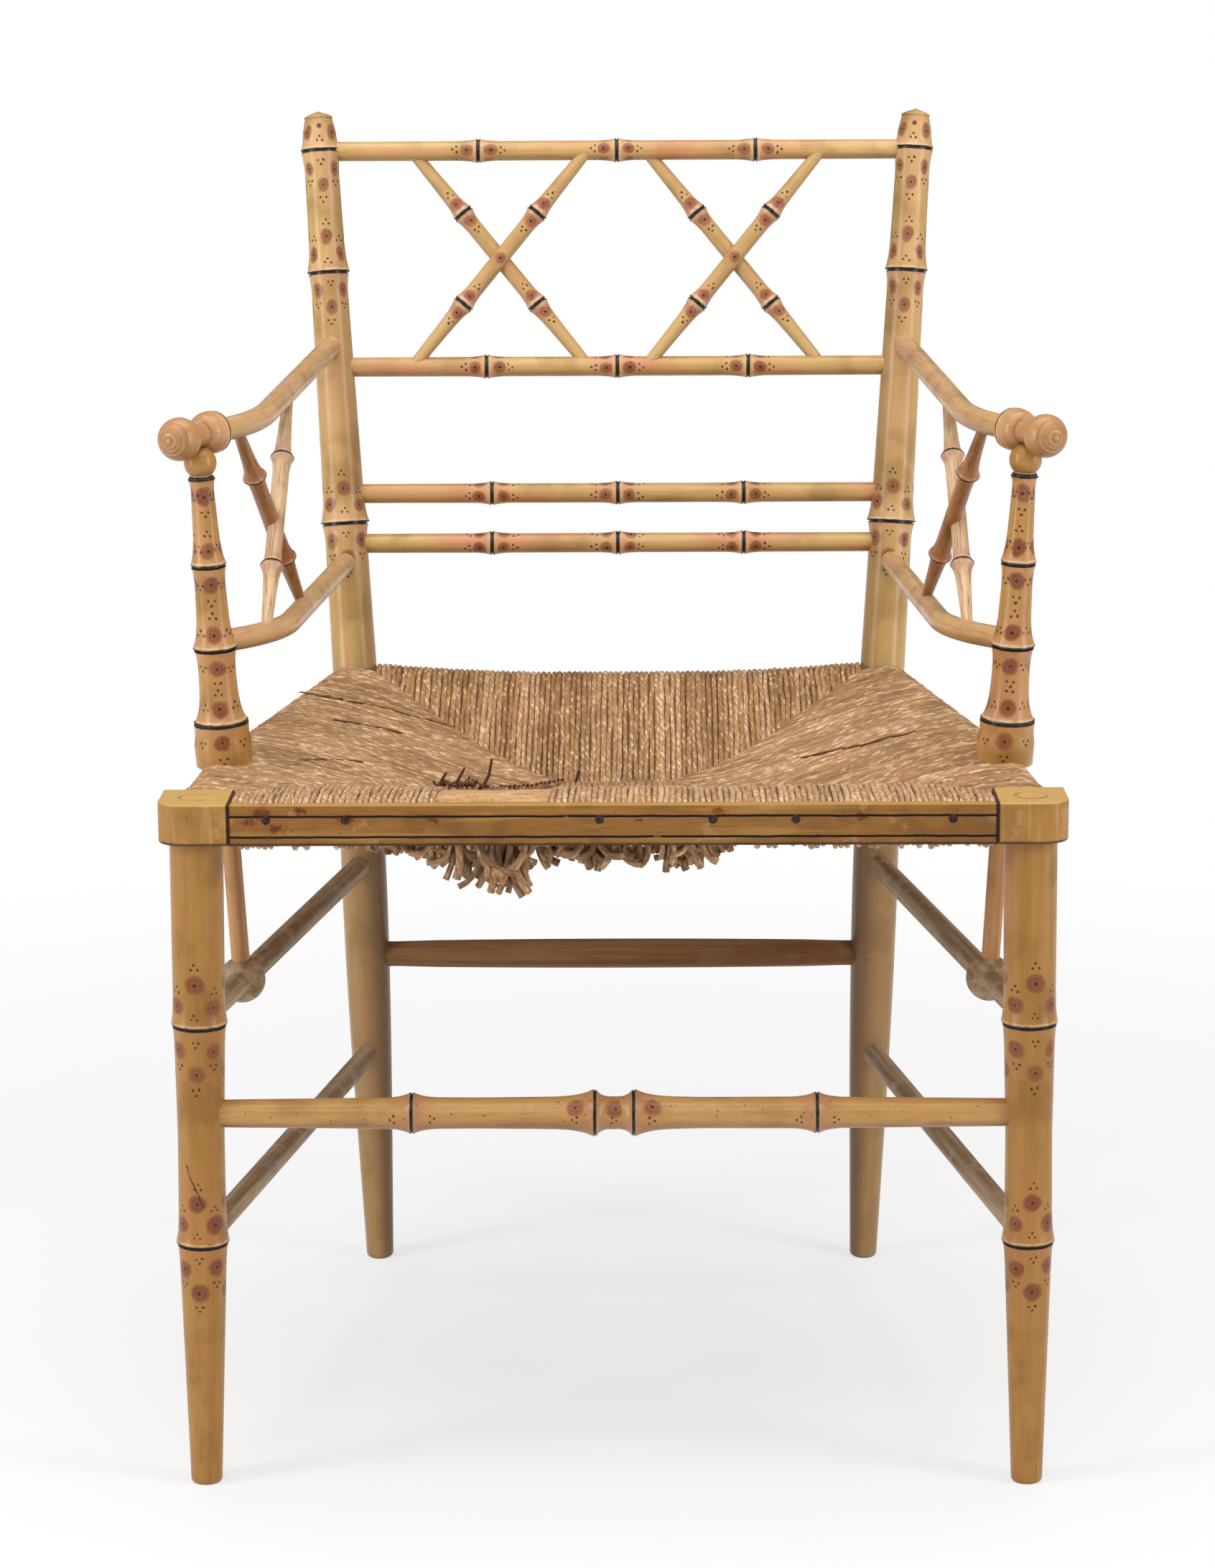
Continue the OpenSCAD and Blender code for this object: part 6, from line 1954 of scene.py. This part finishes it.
@dataclass
class RushSeat:
    """The woven rush seat: packing, four panels of strands, and what has broken loose."""

    strand_r: float = 2.0 * MM
    pitch: float = 3.72 * MM
    sag: float = 44 * MM
    seam_y: float = 255 * MM
    seam_half: float = 36 * MM
    core: float = 19 * MM
    front_y: float = -16.2 * MM
    slack: float = 4.3 * MM
    full: float = 8 * MM
    bare_from: float = -0.112
    bare_to: float = -0.038
    post_gap: float = 17.5 * MM
    mitre_lap: float = 1.5 * MM
    tuck: float = 4.0 * MM
    bulge_share: float = 0.32
    fray_count: int = 330
    fray_steps: int = 7
    fray_front: float = -20.2 * MM
    seed: int = 11

    def __post_init__(self) -> None:
        """Starts the lists of strands and the random numbers."""
        self.random = random.Random(self.seed)
        self.lines: list[list[Vector]] = []
        self.girth: list[float] = []
        self.tone: list[Vector] = []
        self.front = self.front_y + LAYOUT.rush_r
        self.back = LAYOUT.seat_depth

    def some(self, low: float, high: float) -> float:
        """The next random number between two."""
        return self.random.uniform(low, high)

    def half_width(self, y: float) -> float:
        """Distance from the middle to the outside of the rush."""
        return LAYOUT.seat_side_at(y).x + LAYOUT.rush_r / LAYOUT.seat_side_way.y

    def panel(self, x: float, y: float) -> float:
        """Share of the way from the rails to the middle seam."""
        w = self.half_width(y) - LAYOUT.rush_r
        return max(0.0, min(1.0, (w - abs(x)) / (w - self.seam_half),
                            (y - self.front) / (self.seam_y - self.front),
                            (self.back - y) / (self.back - self.seam_y)))

    def sunk(self, x: float, y: float) -> float:
        """Share of the whole sag at a place."""
        return ease(self.panel(x, y))

    def lumps(self, x: float, y: float) -> float:
        """Slow unevenness of the packing."""
        return 1.6 * MM * noise.noise(Vector((x * 18, y * 18, 0.3))) * min(1.0, self.panel(x, y) * 5)

    def fullness(self, x: float, y: float) -> float:
        """How much the packing lifts the strands, most beside the rear of the side rails."""
        w = self.half_width(y) - LAYOUT.rush_r
        near = max(0.0, min(1.0, 1.0 - (w - abs(x)) / (w - self.seam_half)))
        back = max(0.0, min(1.0, (y - 12 * MM) / (100 * MM)))
        return self.full * near ** 2 * ease(back)

    def top(self, x: float, y: float) -> float:
        """Height of the seat's upper face inside the rails."""
        return (LAYOUT.seat_z + LAYOUT.rush_r - self.sag * self.sunk(x, y) + self.lumps(x, y)
                + self.fullness(x, y))

    def under(self, x: float, y: float) -> float:
        """Height of its lower face inside the rails."""
        drop = self.core + self.sag - 2 * LAYOUT.rush_r
        return LAYOUT.seat_z - LAYOUT.rush_r - drop * self.sunk(x, y)

    def mitre_x(self, y: float) -> float:
        """Distance from the middle to the mitre of a side panel."""
        w = self.half_width(y) - LAYOUT.rush_r
        share = min(
            (y - self.front) / (self.seam_y - self.front), (self.back - y) / (self.back - self.seam_y))
        return w - (w - self.seam_half) * max(0.0, share)

    def mitre_y(self, x: float, front: bool) -> float:
        """Where a front or back strand meets its mitre."""
        edge = self.front if front else self.back
        if abs(x) <= self.seam_half:
            return self.seam_y
        low, high = edge, self.seam_y
        for _ in range(30):
            middle = (low + high) / 2
            if self.mitre_x(middle) > abs(x):
                low = middle
            else:
                high = middle
        return (low + high) / 2

    def add(self, line: list[Vector], tone: Vector, girth: Sequence[float] | float = 1.0) -> None:
        """Adds one strand.

        Args:
            line: Its points.
            tone: Its own tone, age and brightness, each from 0 to 1.
            girth: One girth for all its points, or one for each.
        """
        self.lines.append(line)
        self.tone += [tone] * len(line)
        self.girth += [girth] * len(line) if isinstance(girth, float) else list(girth)

    def run_over(self, out: Callable[[float], Vector], edge: float, mitre: float,
                 centre_z: float, slack: float) -> list[Vector]:
        """The points of one strand, from its mitre over the rail and back underneath.

        Args:
            out: Gives the point at a distance outward from the middle.
            edge: Distance of the rail's centre line from the middle.
            mitre: Distance of the mitre from the middle.
            centre_z: Height of the rail's centre line.
            slack: How far the strand hangs below the rail.

        Returns:
            The points in order.
        """
        roll = LAYOUT.rush_r - self.strand_r
        line = [out(mitre - self.mitre_lap)] + [out(mix(mitre, edge, (k / 6) ** 0.9)) for k in range(6)]
        placed = []
        for k, point in enumerate(line):
            dip = self.tuck if k == 0 else 0.0
            placed.append(self.on_top(point.x, point.y, -self.strand_r - dip))
        rail = out(edge)
        lift = self.fullness(rail.x, rail.y)
        for degrees in (90, 60, 32, 5, -30, -65, -90):
            a = math.radians(degrees)
            drop = slack * max(0.0, -math.sin(a)) ** 2 - lift * max(0.0, math.sin(a))
            bulge = lift * self.bulge_share if 10 < degrees < 80 else 0.0
            point = out(edge + roll * math.cos(a) + bulge)
            placed.append(Vector((point.x, point.y, centre_z + roll * math.sin(a) - drop)))
        for share in (0.45, 0.0):
            point = out(mix(mitre, edge, share))
            placed.append(Vector((point.x, point.y, self.under(point.x, point.y) + self.strand_r)))
        return placed

    def side_panels(self) -> None:
        """Strands over the two side rails."""
        for side in Side:
            y, end = LAYOUT.block_back_y + self.strand_r, LAYOUT.seat_depth - self.post_gap
            while y < end:
                at = y + self.some(-0.25, 0.25) * MM
                edge, mitre = LAYOUT.seat_side_at(at).x, self.mitre_x(at)

                def out(distance: float, at: float = at, side: Side = side) -> Vector:
                    """A point on this strand's plane."""
                    return Vector((side.value * distance, at, 0.0))

                line = self.run_over(out, edge, mitre, LAYOUT.seat_z, self.some(0, 1) * MM)
                for k in range(1, 7):
                    line[k].z += self.some(-0.8, 0.5) * MM
                    line[k].y += self.some(-0.9, 0.9) * MM
                self.add(line, Vector((self.random.random(), 0.0, self.random.random() ** 2 * 0.8)),
                         self.some(0.86, 1.14))
                y += self.pitch

    def end_panel(self, front: bool) -> None:
        """Strands over the front or the back rail."""
        half = LAYOUT.block_inner_x - self.strand_r if front else LAYOUT.rear_seat_half - self.post_gap
        edge = self.front if front else self.back
        count = int(2 * half / self.pitch)
        for k in range(count + 1):
            x = -half + 2 * half * k / count + self.some(-0.2, 0.2) * MM
            mitre = self.mitre_y(x, front)
            sign = 1 if front else -1

            def out(distance: float, x: float = x, sign: int = sign) -> Vector:
                """A point on this strand's plane; distances grow towards the rail."""
                return Vector((x, edge - sign * (distance - 1.0), 0.0))

            slack = self.slack + self.some(-1, 3.5) * MM if front else 1 * MM
            line = self.run_over(out, 1.0, 1.0 - abs(mitre - edge), LAYOUT.seat_z, slack)
            # The front panel's strands are made brighter than the rest: partly their own paler tone, partly a
            # painted highlight on the front of the seat.
            tone = Vector((self.random.random(), 0.0, self.some(0.35, 1.0) if front else
                           self.random.random() ** 2 * 0.9))
            if front and self.bare_from < x < self.bare_to:
                self.add([line[0] + UP * 3 * MM, line[1] + UP * 1.5 * MM,
                          line[1] + Vector((self.some(-1, 1), self.some(-4.5, -2.5), 2)) * MM],
                         Vector((0.4, self.some(0, 0.8), 0.6)), 0.95)
                line = line[10:]
            for point in line[1:7]:
                point.z += self.some(-0.8, 0.5) * MM
                point.x += self.some(-0.7, 0.7) * MM
            self.add(line, tone, self.some(0.88, 1.14))

    def on_top(self, x: float, y: float, lift: float = 0.0) -> Vector:
        """A point of the upper face, lifted."""
        return Vector((x, y, self.top(x, y) + lift))

    def broken(self) -> None:
        """Dark broken strands: some stand up from the front mitre, others lie in slits."""
        hooks = ((-0.1165, 0.55, (1.0, 3.5), (2.6, 7.5), (5.4, 11.5)),
                 (-0.108, 0.6, (2.8, 4.5), (5.6, 9.5), (8.2, 14.5)),
                 (-0.1, 0.45, (0.8, 2.6), (1.6, 5.0), (3.0, 8.5)),
                 (-0.096, 0.45, (-1.0, 2.0), (-2.4, 3.8), (-4.4, 5.4)),
                 (-0.0925, 0.45, (-1.0, 2.6), (-1.6, 4.2), (-3.4, 7.0)),
                 (-0.0915, 0.66, (3.8, 3.2), (7.0, 9.5), (9.0, 20.5)),
                 (-0.028, 0.5, (0.6, 2.6), (1.2, 5.0), (2.0, 8.0)))
        for x, girth, *bends in hooks:
            foot = self.on_top(x, self.mitre_y(x, True) - 2 * MM, -1 * MM)
            line = [foot] + [foot + Vector((dx, 0.1 * dz, dz)) * MM for dx, dz in bends]
            line = [mix(a, b, k / 3) for a, b in zip(line, line[1:]) for k in range(3)] + line[-1:]
            self.add(line, Vector((0.8, 1.0, 0.0)), [girth * (1.15 - 0.05 * k) for k in range(len(line))])
        for k in range(16):
            x = mix(-0.1165, -0.088, k / 15) + self.some(-1, 1) * MM
            foot = self.on_top(x, self.mitre_y(x, True) - 1 * MM, 1.5 * MM)
            line = [foot + Vector((d * self.some(2, 5), 0, self.some(-1, 4))) * MM
                    for d in (-1, -0.3, 0.4, 1)]
            self.add(line, Vector((0.7, self.some(0.7, 1.0), 0.0)), self.some(0.4, 0.62))
        for k in range(15):
            x = mix(-0.078, -0.038, k / 14)
            foot = self.on_top(x, self.mitre_y(x, True) - 1 * MM, 1.0 * MM)
            self.add(
                [foot, foot + Vector((1.6, -1.0, self.some(0.2, 1.6))) * MM], Vector((0.8, 0.9, 0.0)), 0.45)
        slits = ((0.3, 0.6, (-0.221, 0.343), (-0.212, 0.3385), (-0.200, 0.333), (-0.187, 0.330)),
                 (0.34, 0.12, (-0.187, 0.330), (-0.1518, 0.3357), (-0.128, 0.340), (-0.107, 0.342)),
                 (0.3, 0.42, (-0.1918, 0.2653), (-0.165, 0.271), (-0.1383, 0.2767)),
                 (0.5, 0.3, (0.1252, 0.230), (0.145, 0.222), (0.1657, 0.2129), (0.188, 0.214),
                  (0.2045, 0.2177)),
                 (0.2, 0.34, (-0.2056, 0.1384), (-0.183, 0.157), (-0.1611, 0.1745)))
        for first, last, *slit in slits:
            places = [mix(Vector(a), Vector(b), k / 4) for a, b in zip(slit, slit[1:]) for k in range(4)]
            line = [self.on_top(p.x, p.y - 5 * self.fullness(p.x, p.y) + self.some(-0.7, 0.7) * MM,
                                self.some(-0.5, 0.5) * MM) for p in places]
            girth = [mix(first, last, k / len(line)) * self.some(0.75, 1.15) for k in range(len(line))]
            self.add(line, Vector((0.8, 0.4 + first * 0.8, 0.0)), girth)

    def frays(self) -> None:
        """Curled cut ends that crowd below the front strip."""
        depths = ((-0.168, 3), (-0.162, 4), (-0.121, 9), (-0.102, 16), (-0.090, 24), (-0.0696, 31),
                  (-0.054, 25), (-0.046, 12), (-0.030, 11), (-0.015, 15), (-0.001, 18), (0.023, 16),
                  (0.040, 17), (0.054, 15), (0.064, 9), (0.078, 3))
        steps = self.fray_steps
        for _ in range(self.fray_count):
            x = self.some(depths[0][0], depths[-1][0])
            (x0, d0), (x1, d1) = next((low, high) for low, high in zip(depths, depths[1:])
                                      if low[0] <= x <= high[0])
            deep = mix(d0, d1, (x - x0) / (x1 - x0)) * MM * self.some(0.3, 1.0) ** 0.7
            place = Vector((x, self.some(-11, 12) * MM, LAYOUT.block_bottom + 2 * MM))
            loose = 0.35 if -0.082 < x < -0.058 else 1.0
            lean, curl = self.some(-0.9, 0.9) * loose, self.some(-2.2, 2.2) * loose
            swing = self.some(-0.5, 0.5)
            line = [place]
            for k in range(1, steps + 1):
                turn = lean * 0.5 + curl * (k / steps) ** 1.6
                way = Vector((math.sin(turn), swing * math.sin(1.5 * turn), -math.cos(turn)))
                line.append(line[-1] + way * (deep + 3 * MM) * 1.25 / steps)
                line[-1].y = max(line[-1].y, self.fray_front)
            girth = self.some(0.95, 1.4)
            self.add(line, Vector((self.random.random(), self.random.random() ** 1.5 * 0.7, 0.4)),
                     [girth * (0.8 + 0.25 * k / steps) for k in range(steps + 1)])

    def packing(self) -> Object:
        """The closed packing between the rails, under the strands."""
        shell = Shell()
        nx, ny, inset = 60, 56, 2.5 * MM
        grid: dict[tuple[int, int, int], int] = {}
        tone: list[Vector] = []
        for level in (0, 1):
            for j in range(ny + 1):
                y = mix(self.front, self.back, j / ny)
                w = LAYOUT.seat_side_at(y).x
                for i in range(nx + 1):
                    x = mix(-w, w, i / nx)
                    z = self.top(x, y) - inset if level == 0 else self.under(x, y) + inset
                    grid[level, j, i] = len(shell.points)
                    shell.points.append(Vector((x, y, z)))
                    shell.stick.append(Vector((x, z, y)))
                    bare = self.bare_from - 2 * MM < x < self.bare_to + 2 * MM and level == 0 \
                        and y < self.mitre_y(x, True) + 2 * MM
                    tone.append(Vector((0.0, 0.0, 1.0 if bare else 0.0)))
        far = [NO_RING] * 4

        def quad(a: tuple, b: tuple, c: tuple, d: tuple) -> None:
            """Adds one face by its grid places."""
            shell.add_face([grid[a], grid[b], grid[c], grid[d]], far)

        for j in range(ny):
            for i in range(nx):
                quad((0, j, i), (0, j, i + 1), (0, j + 1, i + 1), (0, j + 1, i))
                quad((1, j, i), (1, j + 1, i), (1, j + 1, i + 1), (1, j, i + 1))
            quad((0, j, 0), (0, j + 1, 0), (1, j + 1, 0), (1, j, 0))
            quad((0, j, nx), (1, j, nx), (1, j + 1, nx), (0, j + 1, nx))
        for i in range(nx):
            quad((0, 0, i), (1, 0, i), (1, 0, i + 1), (0, 0, i + 1))
            quad((0, ny, i), (0, ny, i + 1), (1, ny, i + 1), (1, ny, i))
        made = shell.piece("Rush_packing", SeatCore().material(), sharp=60)
        values = [c for v in tone for c in v]
        made.data.attributes.new("tone", "FLOAT_VECTOR", "POINT").data.foreach_set("vector", values)
        return made

    def build(self) -> None:
        """Lays the strands, sweeps them and joins them to the packing."""
        self.side_panels()
        self.end_panel(front=True)
        self.end_panel(front=False)
        self.broken()
        self.frays()
        packing = self.packing()
        guides = guide_object("Rush guides", self.lines, {"girth": self.girth, "tone": self.tone})
        strands = StrandTree().run(guides, "Rush_strands", RushFibre().material(), radius=self.strand_r)
        with bpy.context.temp_override(active_object=packing, selected_editable_objects=[packing, strands],
                                       selected_objects=[packing, strands], object=packing):
            bpy.ops.object.join()
        packing.name = packing.data.name = "Rush_seat"
        install(packing, Slot.RUSH, "rush_seat")


@dataclass(frozen=True)
class FloorPaint(Finish):
    """A plain pale floor that fades to white before the camera and keeps the chair's shadow."""

    name: str = "Pale floor"
    fade_from: float = 0.5
    fade_to: float = 1.6
    least: float = 0.64

    def wire(self, w: Wiring, shader: Node) -> None:
        """Mixes the lit floor with plain white, by distance from the chair and kind of ray."""
        w.fill(shader, {"Base Color": (0.82, 0.82, 0.82, 1.0), "Roughness": 0.9, "Specular IOR Level": 0.0})
        away = w.vector("LENGTH", self.place(w))
        rays = w.node("ShaderNodeLightPath").outputs
        seen = w.min(
            1.0, w.add(rays["Is Camera Ray"], w.add(rays["Is Glossy Ray"], rays["Is Transmission Ray"])))
        white = w.node("ShaderNodeEmission")
        share = w.mul(seen, w.span(away, self.fade_from, self.fade_to, self.least, 1.0))
        both = w.node("ShaderNodeMixShader")
        for socket, value in zip(both.inputs, (share, shader.outputs["BSDF"], white.outputs["Emission"])):
            w.feed(socket, value)
        end = next(n for n in w.tree.nodes if n.type == "OUTPUT_MATERIAL")
        w.feed(end.inputs["Surface"], both.outputs[0])


@dataclass
class Studio:
    """Camera, lamps, world and floor."""

    spot: Vector = field(default_factory=lambda: Vector((0.02637, -2.66753, 0.98644)))
    tilt: float = math.radians(77.75)
    swing: float = 0.01103
    roll: float = 0.00535
    lens: float = 91.70
    ambient: float = 0.18
    floor_half: float = 9.0

    def camera(self) -> None:
        """Sets the camera where the photograph was taken from."""
        data = bpy.data.cameras.new("Camera")
        data.lens, data.sensor_width, data.sensor_fit = self.lens, 36.0, "AUTO"
        data.clip_start, data.clip_end = 0.05, 60.0
        made = add_object("Camera", data)
        made.location = self.spot
        made.rotation_euler = (self.tilt, self.roll, self.swing)
        bpy.context.scene.camera = made

    def lamp(self, name: str, place: Vector, aim: Vector, size: tuple[float, float], power: float) -> None:
        """Adds a soft rectangular lamp.

        Args:
            name: Its name.
            place: Where it hangs.
            aim: The point that it faces.
            size: Its width and height in metres.
            power: Its power in watts.
        """
        data = bpy.data.lights.new(name, "AREA")
        data.shape, data.size, data.size_y, data.energy = "RECTANGLE", *size, power
        made = add_object(name, data)
        made.location = place
        made.rotation_euler = (aim - place).to_track_quat("-Z", "Y").to_euler()

    def world(self) -> None:
        """White for the camera and reflections, a plain soft level for everything else."""
        made = bpy.data.worlds.new("Studio")
        bpy.context.scene.world = made
        made.use_nodes = True
        made.node_tree.nodes.clear()
        w = Wiring(made.node_tree)
        rays = w.node("ShaderNodeLightPath").outputs
        seen = w.min(1.0, w.add(rays["Is Camera Ray"], rays["Is Transmission Ray"]))
        level = w.add(w.mul(seen, 1.0 - self.ambient), self.ambient)
        back = w.put("ShaderNodeBackground", {"Color": (1.0, 1.0, 1.0, 1.0), "Strength": level})
        w.put("ShaderNodeOutputWorld", {"Surface": back["Background"]})

    def build(self) -> None:
        """Makes the studio."""
        self.camera()
        self.world()
        aim = Vector((0.0, 0.0, 0.45))
        for name, place, size, power in (("Front", (-0.4, -2.8, 2.6), (2.4, 1.4), 25),
                                         ("Left", (-2.1, -1.1, 1.1), (0.7, 2.2), 36),
                                         ("Right", (2.1, -1.1, 1.1), (0.7, 2.2), 32),
                                         ("Top", (0.0, -0.2, 3.0), (2.4, 2.4), 62)):
            self.lamp(name, Vector(place), aim, size, power)
        half = self.floor_half
        mesh = bpy.data.meshes.new("Floor")
        mesh.from_pydata(
            [(-half, -half, 0), (half, -half, 0), (half, half, 0), (-half, half, 0)], [], [(0, 1, 2, 3)])
        mesh.materials.append(FloorPaint().material())
        floor = add_object("Floor", mesh)
        bpy.context.scene.view_settings.view_transform = "Standard"


def main() -> None:
    """Builds the chair's sub-assemblies and the studio in order."""
    logging.basicConfig(level=logging.INFO, format="%(name)s: %(message)s")
    for assembly in (RearPosts(), FrontLegs(), BackRails(), BackLattice(), Arms(), Stretchers(), SeatFrame(),
                     Nails(), RushSeat(), Studio()):
        assembly.build()
        log.info("%s done", type(assembly).__name__)


if __name__ == "__main__":
    main()
